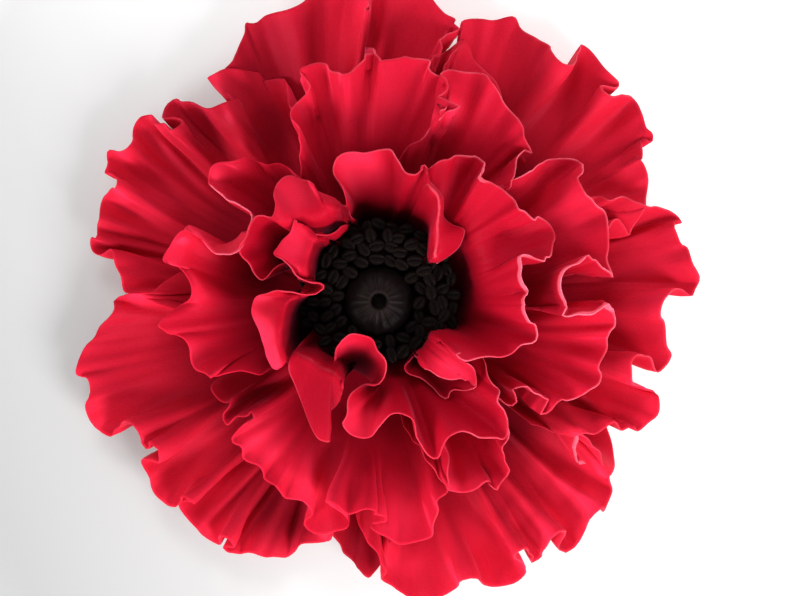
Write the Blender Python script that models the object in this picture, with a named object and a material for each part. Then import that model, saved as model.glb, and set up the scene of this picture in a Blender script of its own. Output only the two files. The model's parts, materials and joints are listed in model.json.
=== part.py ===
"""A double poppy: one cut flower head, lying on its back, face up.

Twenty-two ruffled petals in three rings grow from a small green flower base. A dark ribbed seed
capsule stands in the middle, with twelve bundles of stamens round it. Every petal, the capsule, the
base and each bundle is one closed body, and none of them touch: they keep a gap of some 0.3 mm.
"""

import math

import bmesh
import bpy
from mathutils import Vector
from mathutils.bvhtree import BVHTree

MM = 0.001

# Driving dimensions, in millimetres
PETAL_THICKNESS = 0.55
GAP = 0.32
FACET_ROOM = 0.5
RUFFLE = 0.85
CLAW_RADIUS = 6.4
BASE_RADIUS = 6.0
STALK_RADIUS = 3.2
BASE_TOP = 19.3
BASE_RIM_RADIUS = 9.4
CAPSULE_RADIUS = 8.6
CAPSULE_FOOT = 19.7
CAPSULE_HEIGHT = 8.6
CAPSULE_HOLE_RADIUS = 2.0
CAPSULE_RIBS = 18
ANTHER_LENGTH = 2.8
ANTHER_WIDTH = 1.7
ANTHER_DEPTH = 1.3
FILAMENT_WIDTH = 0.42
BUNDLES = 12

# How each ring of petals rises from the flower base outwards: (distance out, height)
OUTER_RISE = [(6, 5.5), (14, 4.2), (28, 1.7), (42, 1.0), (54, 3.8), (64, 8.0), (80, 13.0)]
MIDDLE_RISE = [(6, 9.6), (14, 9.2), (24, 11.2), (34, 16.5), (44, 23.0), (52, 27.0), (62, 29.5)]
INNER_RISE = [(6, 12.0), (13, 11.0), (18, 11.8), (22, 16.0), (28, 26.5), (34, 35.0), (46, 42.0)]

# Each petal: its ring's rise, the columns and rows of its sheet, and its free edge as
# (bearing in degrees anticlockwise from +X, distance out)
PETALS = {
    "petal_outer_bottom_small": (OUTER_RISE, 7, 7, [
        (253, 48), (257, 55), (261, 60.8), (265, 64.3), (268, 66.3), (271, 63), (275, 54), (279, 46)]),
    "petal_outer_bottom": (OUTER_RISE, 17, 8, [
        (263, 50), (267, 57), (270, 63.5), (274, 69.6), (279, 73), (283, 72.3), (287, 70.3),
        (291, 73.0), (295, 74.6), (299, 69.8), (303, 71.8), (308, 75.2), (313, 73.2), (317, 73.8),
        (321, 69.5), (325, 62), (330, 52)]),
    "petal_outer_right_small": (OUTER_RISE, 8, 7, [
        (308, 50), (313, 57), (318, 63), (322, 68), (326, 67.8), (330, 63.5), (334, 56), (338, 47)]),
    "petal_outer_right": (OUTER_RISE, 18, 8, [
        (321, 50), (326, 58), (330, 64), (334, 70), (338, 72.2), (342, 67.5), (345, 63.2), (349, 70.8),
        (353, 69.5), (357, 67.8), (361, 73), (364, 77), (368, 75.3), (372, 73.3), (376, 73), (380, 68),
        (384, 60), (389, 50)]),
    "petal_outer_upper_right": (OUTER_RISE, 18, 8, [
        (9, 50), (14, 58), (18, 65), (22, 69.4), (27, 71.5), (31, 76.5), (35, 77.4), (39, 77.4),
        (43.4, 74.2), (47, 77.9), (51, 77.6), (55, 73.3), (60, 73.6), (65, 75), (69, 72), (73, 68),
        (77, 60), (82, 50)]),
    "petal_outer_top": (OUTER_RISE, 17, 8, [
        (67, 48), (71, 58), (75, 67.5), (79, 73), (84, 78), (88, 77.5), (92.5, 70.4), (97, 78),
        (102, 78), (107, 73.8), (112, 73.6), (117, 72), (121, 67.8), (125, 60), (130, 49)]),
    "petal_outer_upper_left": (OUTER_RISE, 18, 8, [
        (108, 48), (113, 56), (118, 60.5), (123, 65.4), (127.5, 66.8), (131, 62), (135, 68.4),
        (138.4, 65), (143, 72.2), (147, 71), (151, 74.2), (155, 70), (160, 70.5), (165, 70), (169, 69.5),
        (173, 63), (178, 57), (184, 48)]),
    "petal_outer_lower_left": (OUTER_RISE, 21, 8, [
        (172, 50), (177, 58), (182, 64.2), (187, 69), (192, 74), (196, 73), (200, 75), (204, 74),
        (208, 67.8), (212, 65.2), (217, 69.2), (221, 71), (225, 69.5), (227.4, 66), (231, 70.2),
        (235, 68.6), (239, 70.2), (243, 68), (247, 67), (252, 62), (256, 57), (262, 48)]),
    "petal_outer_upper_right_small": (OUTER_RISE, 8, 7, [
        (50, 46), (55, 53), (60, 59.5), (65, 61.2), (69, 62.4), (73, 64.2), (77, 57), (82, 47)]),
    "petal_middle_bottom": (MIDDLE_RISE, 17, 7, [
        (198, 34), (203, 41), (208, 45.4), (213, 44), (218, 46.6), (222, 45), (226, 49), (232, 50.2),
        (238, 51), (244, 52.2), (250, 53.4), (256, 57), (261, 55), (265, 51.8), (269, 54.6), (274, 58),
        (279, 58.5), (283, 56), (288, 49), (294, 38)]),
    "petal_middle_lower_right": (MIDDLE_RISE, 9, 7, [
        (280, 34), (285, 41), (290, 47.8), (295, 51), (300, 51), (305, 51.6), (309, 47), (313, 43),
        (319, 35)]),
    "petal_middle_right": (MIDDLE_RISE, 17, 7, [
        (317, 34), (322, 41), (327, 47.5), (331, 51), (336, 54.7), (341, 56.2), (346, 55.4), (351, 55.6),
        (355, 54), (359, 48), (363, 44.5), (367, 48), (371, 54.8), (376, 57.4), (381, 58.2), (386, 56.8),
        (391, 56.4), (395, 58.6), (399, 54), (403, 46), (408, 36)]),
    "petal_middle_upper_right": (MIDDLE_RISE, 11, 7, [
        (34, 34), (39, 41), (44, 47.6), (48, 53), (53, 55.3), (58, 56.6), (62, 59.4), (66, 59.8),
        (70, 58.4), (74, 56), (78, 48), (83, 37)]),
    "petal_middle_top": (MIDDLE_RISE, 14, 7, [
        (63, 36), (68, 45), (72, 53.4), (76, 58.4), (81, 59.3), (86, 58.8), (89, 57.6), (92, 60),
        (96, 56), (101, 56.4), (105, 59), (109, 58.2), (113, 50.5), (117, 43.4), (122, 35)]),
    "petal_middle_left": (MIDDLE_RISE, 19, 7, [
        (116, 32), (121, 37), (126, 41.5), (131, 45.4), (136, 49.2), (140, 51.6), (144, 48.5), (148, 39.8),
        (153, 36.2), (158, 37), (162, 43), (165, 51.5), (169, 53.5), (173, 50.4), (178, 47.2), (182, 49.2),
        (186, 53.4), (191, 48.6), (197, 46.8), (203, 45), (208, 40), (214, 32)]),
    "petal_inner_bottom": (INNER_RISE, 15, 8, [
        (230, 21), (236, 25), (243, 28.5), (250, 30.5), (256, 32), (262, 32.8), (268, 31), (274, 29.4),
        (280, 28.6), (285, 32), (290, 38.8), (295, 38.6), (300, 37.6), (305, 39.6), (310, 43), (314, 43.6),
        (319, 39), (325, 33), (331, 26)]),
    "petal_inner_small": (INNER_RISE, 7, 7, [
        (283, 20), (289, 23), (296, 26), (303, 28), (310, 29.3), (317, 30), (323, 26), (329, 21)]),
    "petal_inner_right": (INNER_RISE, 20, 8, [
        (306, 22), (312, 26), (318, 29.5), (325, 31), (332, 32.5), (338, 34.6), (343, 37), (348, 38),
        (353, 36.8), (358, 34.6), (363, 36), (368, 35), (373, 35.4), (378, 39), (382, 44.4), (386, 44.6),
        (391, 41.6), (397, 40.4), (403, 39.8), (409, 40), (415, 41), (421, 39.8), (427, 36.6), (433, 30),
        (439, 23)]),
    "petal_inner_top": (INNER_RISE, 11, 8, [
        (44, 21), (50, 25), (57, 28.4), (64, 31), (70, 33), (76, 32), (81, 33.6), (86, 36.2), (93, 36),
        (99, 35.8), (104, 35.6), (109, 31.5), (115, 26), (121, 21)]),
    "petal_inner_upper_left": (INNER_RISE, 10, 8, [
        (104, 21), (110, 26), (116, 30.5), (122, 35), (127, 37.4), (132, 36.8), (138, 33.6), (144, 34.6),
        (151, 35.2), (158, 34.6), (164, 31), (170, 26.5), (176, 21)]),
    "petal_inner_left": (INNER_RISE, 14, 8, [
        (112, 20), (119, 22.5), (126, 25), (132, 27.4), (137, 28), (143, 27.4), (150, 27.6), (156, 27),
        (162, 25.4), (168, 25), (174, 27.4), (180, 30), (187, 30.4), (194, 29.6), (202, 29.6), (210, 30),
        (217, 26), (224, 21)]),
    "petal_inner_lower_left": (INNER_RISE, 10, 8, [
        (202, 21), (208, 25), (215, 28), (223, 29.6), (231, 31.4), (238, 33.4), (245, 35.6), (251, 34.4),
        (257, 28), (263, 21)]),
}

SURFACES = {
    "petal_red": ((0.60, 0.012, 0.035, 1.0), 0.62),
    "capsule_black": ((0.012, 0.005, 0.005, 1.0), 0.5),
    "anther_black": ((0.010, 0.004, 0.004, 1.0), 0.55),
    "base_green": ((0.10, 0.17, 0.05, 1.0), 0.6),
}


def clear_scene():
    for item in list(bpy.data.objects):
        bpy.data.objects.remove(item, do_unlink=True)


def make_surface(name):
    colour, roughness = SURFACES[name]
    surface = bpy.data.materials.new(name)
    surface.use_nodes = True
    shader = surface.node_tree.nodes["Principled BSDF"]
    shader.inputs["Base Color"].default_value = colour
    shader.inputs["Roughness"].default_value = roughness
    return surface


def between(table, x):
    """The smooth curve through the points of a table, at x."""
    if x <= table[0][0]:
        return table[0][1]
    for n in range(len(table) - 1):
        x0, y0 = table[n]
        x1, y1 = table[n + 1]
        if x <= x1:
            before = table[max(n - 1, 0)]
            after = table[min(n + 2, len(table) - 1)]
            m0 = (y1 - before[1]) / (x1 - before[0])
            m1 = (after[1] - y0) / (after[0] - x0)
            s = (x - x0) / (x1 - x0)
            h = x1 - x0
            a = (1 + 2 * s) * (1 - s) ** 2
            b = s * (1 - s) ** 2
            c = s * s * (3 - 2 * s)
            d = s * s * (s - 1)
            return a * y0 + b * h * m0 + c * y1 + d * h * m1
    return table[-1][1]


def new_object(name, shape, surface, home):
    """One named object, in metres, from a shape in millimetres."""
    for vert in shape.verts:
        vert.co *= MM
    bmesh.ops.recalc_face_normals(shape, faces=shape.faces)
    mesh = bpy.data.meshes.new(name)
    shape.to_mesh(mesh)
    shape.free()
    item = bpy.data.objects.new(name, mesh)
    item.data.materials.append(surface)
    home.objects.link(item)
    return item


def petal_points(rise, columns, rows, edge):
    """A petal's middle sheet: rows of points from its narrow claw out to its ruffled edge."""
    first = edge[0][0]
    last = edge[-1][0]
    middle = (first + last) / 2
    claw_spread = min(40.0, (last - first) * 0.55)
    points = []
    for j in range(rows + 1):
        v = j / rows
        line = []
        for i in range(columns + 1):
            s = i / columns
            edge_bearing = first + (last - first) * s
            reach = between(edge, edge_bearing)
            calm = sum(between(edge, edge_bearing + k) for k in (-12, -6, 0, 6, 12)) / 5
            fan = 1 - (1 - v) ** 2.6
            claw_bearing = middle + claw_spread * (s - 0.5)
            bearing = math.radians(claw_bearing + (edge_bearing - claw_bearing) * fan)
            out = CLAW_RADIUS + (reach - CLAW_RADIUS) * v
            ruffle = (calm - reach) * RUFFLE * v ** 4
            line.append([out * math.cos(bearing), out * math.sin(bearing), between(rise, out) + ruffle])
        points.append(line)
    return points


def sheet_faces(columns, rows):
    wide = columns + 1
    faces = []
    for j in range(rows):
        for i in range(columns):
            a = j * wide + i
            faces.append((a, a + 1, a + 1 + wide, a + wide))
    return faces


def steepness(tree_hit_normal):
    """How much wider a vertical gap must be than the true gap on a slope."""
    return 1.0 / max(abs(tree_hit_normal.z), 0.3)


def settle(points, faces, columns, rows, below):
    """Lift a petal's sheet smoothly until it clears all the petals beneath it."""
    room = PETAL_THICKNESS + GAP + FACET_ROOM
    flat = [p for line in points for p in line]
    wide = columns + 1
    need = [0.0] * len(flat)
    lift = [0.0] * len(flat)
    for _ in range(4):
        for n, p in enumerate(flat):
            for tree, _corners in below:
                spot, normal, _face, _far = tree.ray_cast(Vector((p[0], p[1], 200)), Vector((0, 0, -1)))
                if spot is not None:
                    wanted = spot.z + room * steepness(normal) - p[2]
                    need[n] = max(need[n], wanted)
        mine = BVHTree.FromPolygons([Vector((p[0], p[1], p[2] + e)) for p, e in zip(flat, lift)], faces)
        for _tree, corners in below:
            for c in corners:
                spot, normal, face, _far = mine.ray_cast(Vector((c[0], c[1], 200)), Vector((0, 0, -1)))
                if spot is not None:
                    short = c[2] + room * steepness(normal) - spot.z
                    if short > 0:
                        for k in faces[face]:
                            need[k] = max(need[k], lift[k] + short)
        lift = [max(a, b) for a, b in zip(need, lift)]
        for _blur in range(6):
            calm = list(lift)
            for j in range(rows + 1):
                for i in range(columns + 1):
                    n = j * wide + i
                    near = [lift[n]]
                    if i > 0:
                        near.append(lift[n - 1])
                    if i < columns:
                        near.append(lift[n + 1])
                    if j > 0:
                        near.append(lift[n - wide])
                    if j < rows:
                        near.append(lift[n + wide])
                    calm[n] = max(need[n], sum(near) / len(near))
            lift = calm
    return [[p[0], p[1], p[2] + e] for p, e in zip(flat, lift)]


def thicken(flat, faces):
    """A closed body round a middle sheet: its two skins and the wall along the edge."""
    sheet = bmesh.new()
    corners = [sheet.verts.new(p) for p in flat]
    for face in faces:
        sheet.faces.new([corners[k] for k in face])
    bmesh.ops.recalc_face_normals(sheet, faces=sheet.faces)
    sheet.normal_update()
    half = PETAL_THICKNESS / 2
    shifts = [vert.normal * half for vert in sheet.verts]
    lower = [vert.co - shift for vert, shift in zip(sheet.verts, shifts)]
    upper = [vert.co + shift for vert, shift in zip(sheet.verts, shifts)]
    rims = [[v.index for v in e.verts] for e in sheet.edges if e.is_boundary]
    body = bmesh.new()
    low = [body.verts.new(p) for p in lower]
    high = [body.verts.new(p) for p in upper]
    for face in faces:
        body.faces.new([high[k] for k in face])
        body.faces.new([low[k] for k in reversed(face)])
    for a, b in rims:
        body.faces.new([low[a], low[b], high[b], high[a]])
    sheet.free()
    return body


def make_petals(surface, home):
    """All the petals, from the lowest to the highest, each laid over the ones before it."""
    below = []
    for name, (rise, columns, rows, edge) in PETALS.items():
        points = petal_points(rise, columns, rows, edge)
        faces = sheet_faces(columns, rows)
        flat = settle(points, faces, columns, rows, below)
        below.append((BVHTree.FromPolygons([Vector(p) for p in flat], faces), flat))
        body = thicken(flat, faces)
        body.verts.index_update()
        new_object(name, body, surface, home)


def turned(profile, sides, ribs=0, rib_depth=0.0):
    """A closed body of revolution about +Z, its widest parts ribbed if ribs are asked for."""
    body = bmesh.new()
    rings = []
    for radius, height, ribbed in profile:
        ring = []
        for k in range(sides):
            angle = 2 * math.pi * k / sides
            r = radius + rib_depth * ribbed * math.cos(ribs * angle)
            ring.append(body.verts.new((r * math.cos(angle), r * math.sin(angle), height)))
        rings.append(ring)
    for lower, upper in zip(rings, rings[1:]):
        for k in range(sides):
            n = (k + 1) % sides
            body.faces.new([lower[k], lower[n], upper[n], upper[k]])
    body.faces.new(list(reversed(rings[0])))
    body.faces.new(rings[-1])
    bmesh.ops.triangulate(body, faces=[f for f in body.faces if len(f.verts) > 4])
    return body


def make_base(surface, home):
    """The green flower base, with the short stub of the cut stalk under it."""
    profile = [
        (STALK_RADIUS, 1.2, 0), (STALK_RADIUS, 2.4, 0), (BASE_RADIUS * 0.82, 3.6, 0),
        (BASE_RADIUS, 5.2, 0), (BASE_RADIUS, BASE_TOP - 2.0, 0), (BASE_RIM_RADIUS - 0.5, BASE_TOP - 0.9, 0),
        (BASE_RIM_RADIUS, BASE_TOP - 0.4, 0), (BASE_RIM_RADIUS - 0.3, BASE_TOP, 0),
    ]
    new_object("flower_base", turned(profile, 24), surface, home)


def make_capsule(surface, home):
    """The seed capsule: a ribbed dome with a round hole in its crown."""
    profile = [
        (3.4, CAPSULE_FOOT, 0), (CAPSULE_RADIUS * 0.72, CAPSULE_FOOT + 0.7, 0.5),
        (CAPSULE_RADIUS * 0.97, CAPSULE_FOOT + 3.0, 1), (CAPSULE_RADIUS * 0.9, CAPSULE_FOOT + 5.6, 1),
        (CAPSULE_RADIUS * 0.62, CAPSULE_FOOT + 7.6, 1), (3.0, CAPSULE_FOOT + CAPSULE_HEIGHT - 0.2, 0.4),
        (2.5, CAPSULE_FOOT + CAPSULE_HEIGHT, 0), (CAPSULE_HOLE_RADIUS, CAPSULE_FOOT + CAPSULE_HEIGHT - 0.3, 0),
        (CAPSULE_HOLE_RADIUS * 0.9, CAPSULE_FOOT + CAPSULE_HEIGHT - 3.4, 0),
    ]
    body = turned(profile, CAPSULE_RIBS * 2, CAPSULE_RIBS, 0.16)
    new_object("seed_capsule", body, surface, home)


def anther_places():
    """Where the anthers stand: four loose rings round the capsule, as (bearing, out, height, turn)."""
    places = []
    rings = [(10.7, 20, 27.0), (13.2, 25, 27.8), (15.7, 29, 27.2), (17.9, 33, 26.0)]
    for ring, (out, count, height) in enumerate(rings):
        for k in range(count):
            wobble = math.sin(k * 12.9898 + ring * 78.233) * 43758.5453
            wobble -= math.floor(wobble)
            bearing = 360.0 * (k + 0.5 * (ring % 2)) / count
            turn = 90.0 * wobble - 25.0
            places.append((bearing, out + 0.35 * (wobble - 0.5), height + 0.8 * (wobble - 0.5), turn))
    return places


def make_stamens(surface, home):
    """Twelve bundles of stamens. Each stands on its own piece of the collar round the base."""
    places = anther_places()
    arc = 360.0 / BUNDLES
    for bundle in range(BUNDLES):
        start = bundle * arc
        mine = [p for p in places if start <= p[0] % 360.0 < start + arc]
        mine.sort(key=lambda p: (round(p[1] / 2.6), p[0]))
        body = bmesh.new()
        collar_piece(body, start + 3.0, start + arc - 3.0, mine)
        new_object(f"stamens_{bundle + 1:02d}", body, surface, home)


def polar(bearing, out, height):
    angle = math.radians(bearing)
    return Vector((out * math.cos(angle), out * math.sin(angle), height))


def collar_piece(body, first, last, places):
    """A curved strip of collar, with one stamen drawn up out of its top for each place."""
    inner = CAPSULE_RADIUS - 0.6
    outer = inner + 2.6
    low = BASE_TOP + GAP
    high = low + 0.7
    bands = sorted({round(p[1] / 2.6) for p in places})
    columns = 2 * max(sum(1 for p in places if round(p[1] / 2.6) == b) for b in bands) - 1
    rows = 2 * len(bands) - 1
    grid = []
    for j in range(rows + 1):
        out = inner + (outer - inner) * j / rows
        bearings = [first + (last - first) * i / columns for i in range(columns + 1)]
        grid.append([body.verts.new(polar(bearing, out, high)) for bearing in bearings])
    for j in range(rows):
        band = [p for p in places if round(p[1] / 2.6) == bands[j // 2]]
        for i in range(columns):
            corners = [grid[j][i], grid[j][i + 1], grid[j + 1][i + 1], grid[j + 1][i]]
            if j % 2 == 0 and i % 2 == 0 and i // 2 < len(band):
                draw_stamen(body, corners, band[i // 2])
            else:
                body.faces.new(corners)
    rim = grid[0][:]
    rim += [grid[j][columns] for j in range(1, rows + 1)]
    rim += [grid[rows][i] for i in range(columns - 1, -1, -1)]
    rim += [grid[j][0] for j in range(rows - 1, 0, -1)]
    under = [body.verts.new((c.co.x, c.co.y, low)) for c in rim]
    for n in range(len(rim)):
        k = (n + 1) % len(rim)
        body.faces.new([rim[n], rim[k], under[k], under[n]])
    floor = body.faces.new(under)
    bmesh.ops.triangulate(body, faces=[floor])


def draw_stamen(body, foot, place):
    """One filament from four corners of the collar, ending in a bean-shaped anther."""
    bearing, out, height, turn = place
    top = polar(bearing, out, height - ANTHER_DEPTH * 0.5)
    start = sum((c.co for c in foot), Vector()) / 4
    direction = (top - start).normalized()
    side = direction.cross(Vector((0, 0, 1))).normalized()
    across = side.cross(direction).normalized()
    w = FILAMENT_WIDTH / 2
    loops = [[top + side * a * w + across * b * w for a, b in ((-1, -1), (1, -1), (1, 1), (-1, 1))]]
    angle = math.radians(bearing + turn)
    along = Vector((math.cos(angle), math.sin(angle), 0))
    beside = Vector((-along.y, along.x, 0))
    for share, lift in ((0.86, 0.4), (0.62, 1.0)):
        a = along * ANTHER_LENGTH / 2 * share
        b = beside * ANTHER_WIDTH / 2 * share
        up = Vector((0, 0, ANTHER_DEPTH * lift))
        loops.append([top - a - b + up, top + a - b + up, top + a + b + up, top - a + b + up])
    rings = [foot]
    for loop in loops:
        ring = [body.verts.new(p) for p in loop]
        rings.append(match(rings[-1], ring))
    for lower, upper in zip(rings, rings[1:]):
        for k in range(4):
            n = (k + 1) % 4
            body.faces.new([lower[k], lower[n], upper[n], upper[k]])
    body.faces.new(rings[-1])


def match(before, ring):
    """The ring's corners in the order, and from the start, that twist least from the ring before."""
    centre = sum((v.co for v in ring), Vector()) / 4
    base = sum((v.co for v in before), Vector()) / 4
    best = None
    for flip in (False, True):
        order = list(reversed(ring)) if flip else list(ring)
        for k in range(4):
            turned_ring = order[k:] + order[:k]
            near = 0.0
            for a, b in zip(before, turned_ring):
                near += (a.co - base).normalized().dot((b.co - centre).normalized())
            if best is None or near > best[0]:
                best = (near, turned_ring)
    return best[1]


def set_origin(home):
    """Put the origin under the middle of the flower's spread, on the surface that it lies on."""
    corners = [vert.co for item in home.objects for vert in item.data.vertices]
    low = [min(c[n] for c in corners) for n in range(3)]
    high = [max(c[n] for c in corners) for n in range(3)]
    shift = Vector(((low[0] + high[0]) / 2, (low[1] + high[1]) / 2, low[2]))
    for item in home.objects:
        for vert in item.data.vertices:
            vert.co -= shift


def main():
    clear_scene()
    scene = bpy.context.scene
    home = bpy.data.collections.new("poppy_flower")
    scene.collection.children.link(home)
    surfaces = {name: make_surface(name) for name in SURFACES}
    make_petals(surfaces["petal_red"], home)
    make_base(surfaces["base_green"], home)
    make_capsule(surfaces["capsule_black"], home)
    make_stamens(surfaces["anther_black"], home)
    set_origin(home)


main()
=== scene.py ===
import json
import math

import bmesh
import bpy
import numpy as np
from mathutils import Matrix, Vector
from mathutils.bvhtree import BVHTree

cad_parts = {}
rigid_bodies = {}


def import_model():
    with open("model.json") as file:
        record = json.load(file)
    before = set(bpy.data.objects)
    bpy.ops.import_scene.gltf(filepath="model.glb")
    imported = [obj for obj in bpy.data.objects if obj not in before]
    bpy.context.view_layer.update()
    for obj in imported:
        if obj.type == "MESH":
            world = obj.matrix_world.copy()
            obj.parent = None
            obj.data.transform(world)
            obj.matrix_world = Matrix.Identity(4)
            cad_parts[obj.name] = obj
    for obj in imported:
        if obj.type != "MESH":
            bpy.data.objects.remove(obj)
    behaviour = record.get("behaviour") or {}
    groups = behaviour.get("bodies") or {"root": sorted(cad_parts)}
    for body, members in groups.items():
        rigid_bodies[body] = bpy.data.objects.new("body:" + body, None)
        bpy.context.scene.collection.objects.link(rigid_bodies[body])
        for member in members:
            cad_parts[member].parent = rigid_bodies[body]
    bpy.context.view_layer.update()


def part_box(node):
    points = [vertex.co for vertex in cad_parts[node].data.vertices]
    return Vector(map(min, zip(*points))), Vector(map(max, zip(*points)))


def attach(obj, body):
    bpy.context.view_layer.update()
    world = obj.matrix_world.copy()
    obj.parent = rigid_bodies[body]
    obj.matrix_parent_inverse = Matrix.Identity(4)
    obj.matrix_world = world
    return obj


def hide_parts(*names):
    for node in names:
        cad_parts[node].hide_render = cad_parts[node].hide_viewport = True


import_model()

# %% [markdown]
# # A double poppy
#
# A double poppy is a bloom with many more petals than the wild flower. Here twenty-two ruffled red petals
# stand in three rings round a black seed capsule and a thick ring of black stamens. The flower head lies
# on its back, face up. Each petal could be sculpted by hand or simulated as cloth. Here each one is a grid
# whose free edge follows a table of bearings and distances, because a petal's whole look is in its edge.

MM = 0.001
EYE_HEIGHT = 650.0
EYE_LEVEL = 22.0

capsule_low, capsule_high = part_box("seed_capsule")
AXIS = np.array([(capsule_low[0] + capsule_high[0]) / 2 / MM, (capsule_low[1] + capsule_high[1]) / 2 / MM])

# %% [markdown]
# ## How the petals rise
#
# A petal starts as a narrow claw on the flower base and spreads as it goes out. The outer ring lies nearly
# flat, the middle ring climbs, and the inner ring stands up as a cup round the stamens. Each ring has one
# curve of height against distance from the axis, in millimetres.

# %% The three rises
CLAW_REACH = 6.6
OUTER_RISE = [(6, 5.0), (14, 3.8), (28, 1.8), (42, 2.6), (52, 5.8), (60, 8.8), (66, 10.6), (72, 11.6), (80, 12.0)]
MIDDLE_RISE = [(6, 9.2), (14, 8.8), (24, 11.0), (32, 15.6), (39, 21.0), (45, 25.3), (50, 27.6), (54, 28.2),
               (58, 27.4), (62, 25.6)]
INNER_RISE = [(6, 12.0), (13, 11.4), (18.4, 12.6), (20.6, 17.0), (24, 26.0), (27.5, 32.0), (31, 35.3),
              (34.5, 36.8), (38, 36.9), (42, 35.6), (46, 33.4)]


def height_on(rise, out):
    """The height of a ring's curve at a distance from the axis, with its corners rounded off."""
    xs = np.array([p[0] for p in rise], float)
    ys = np.array([p[1] for p in rise], float)
    dense = np.linspace(xs[0], xs[-1], 200)
    flat = np.interp(dense, xs, ys)
    kernel = np.exp(-0.5 * (np.arange(-12, 13) / 5.0) ** 2)
    padded = np.pad(flat, 12, mode="edge")
    smooth = np.convolve(padded, kernel / kernel.sum(), mode="valid")
    return np.interp(out, dense, smooth)


print("rim heights:", [round(float(height_on(r, r[-1][0])), 1) for r in (OUTER_RISE, MIDDLE_RISE, INNER_RISE)])

# %% [markdown]
# ## The petals' edges
#
# Each edge is a list of points in the order in which a finger would follow it: the bearing in degrees,
# anticlockwise from the right, the distance out, and where it matters the height, in millimetres. Where no
# height is given, the edge stands higher in its hollows than on its lobes, as gathered cloth does. The
# bearings and distances are those that an eye above sees at its own level, EYE_LEVEL. A crest is a line that
# the sheet passes over before it reaches its edge, so a petal can roll over its own rim. A petal could also
# be drawn with curves in the editor, but a table keeps every fold where it can be read and changed.

# %% Petal tables
PETALS = {}


def petal(name, rise, edge, crest=(), calm=9.0, ruffle=1.0, frill=1.0, folds=(), rolls=(), dark=(13, 25),
          crest_highlight=False, shade_dabs=(), sharp=(), highlight_dabs=(), rims=(), gloom=1.0):
    """Put one petal in the list. A place is a point's number along the edge, and may lie between two.

    crest: (place, bearing, distance, height) of the line that the petal rolls over, with a flag for a pale painted
    highlight along it
    sharp: how far inside and outside the crest the bend is held, each with how far it falls there
    calm, ruffle, frill: how smooth the main shape is, how high its hollows stand, how big its chance waves are
    folds: (place, height, width, depth) of single pleats, and rolls: (start, end, drop, depth) that curl down
    rims: (start, end, width) of stretches with a wider pale rim, partly a painted highlight
    dark: the heights between which an inner petal turns from black to red, the black claw together with the painted
    shade of the cup
    the darker and the pinker dabs: (bearing, distance, size, strength) of soft dabs, painted shade and painted
    highlight
    gloom: the share it gets of the painted shade near the heart and inside a curled wall
    """
    PETALS[name] = dict(rise=rise, edge=edge, crest=crest, calm=calm, ruffle=ruffle, frill=frill, folds=folds,
                        rolls=rolls, dark=dark, crest_highlight=crest_highlight, shade_dabs=shade_dabs, sharp=sharp, highlight_dabs=highlight_dabs,
                        rims=rims, gloom=gloom)


petal("petal_outer_bottom_small", OUTER_RISE, [
    (252, 46), (256, 54), (261.6, 60.8), (264.2, 62.6), (265.3, 64.3), (267.8, 66.4), (270.3, 62.9), (274, 57),
    (279, 47)],
    shade_dabs=[(267, 59, 12, 0.5)])
petal("petal_outer_bottom", OUTER_RISE, [
    (262, 48), (266, 56), (270.3, 62.9), (272, 65.2), (271.9, 67), (274, 69.6), (277, 72.5), (280, 73), (282.7, 72.3),
    (286.7, 70.3), (288.6, 71.6), (292.8, 73.9), (295.7, 74.9), (297.7, 74.1), (298.3, 71.8), (297.5, 69.6),
    (300, 69.5), (300.5, 72.7), (303.3, 71.6), (306.7, 71), (307.2, 75.3), (308.2, 75.2), (310.1, 74.9), (314, 73.1),
    (316.2, 74), (317.6, 73.7), (320.2, 71), (322.2, 69), (326, 62), (331, 50)],
    frill=0.7,
    folds=[(8.4, -0.9, 2.0, 18), (9.8, 1.6, 2.2, 22), (12, -0.9, 2.0, 16), (15.7, 2.0, 1.3, 18),
           (17.2, -1.6, 1.1, 14), (19.0, 3.0, 1.5, 28), (21.2, -1.6, 1.3, 18), (23.6, 2.6, 1.3, 26),
           (25.6, -1.2, 1.4, 16)],
    highlight_dabs=[(301, 56, 4, 0.8), (303, 62, 4, 0.9), (305, 68, 4, 0.8), (313, 58, 4, 0.6), (314.5, 64, 4, 0.8),
          (315.6, 70, 4, 0.8), (291, 61, 6, 0.5), (275.5, 64, 5, 0.5)],
    shade_dabs=[(318, 44, 9, 0.5), (324, 47, 6, 0.5)])
petal("petal_outer_right_small", OUTER_RISE, [
    (329, 44), (326, 48), (325.1, 51.8), (324, 53), (323.5, 56.4), (322.9, 59.3), (321.7, 61.5), (321.5, 64.4),
    (321.6, 67.5), (322.2, 69), (324.6, 69.1), (326.2, 67.8), (329.9, 63.8), (334, 57), (338, 46)],
    calm=5,
    rims=[(2.8, 7.6, 0.8)],
    shade_dabs=[(325, 44, 8, 0.7)])
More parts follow.
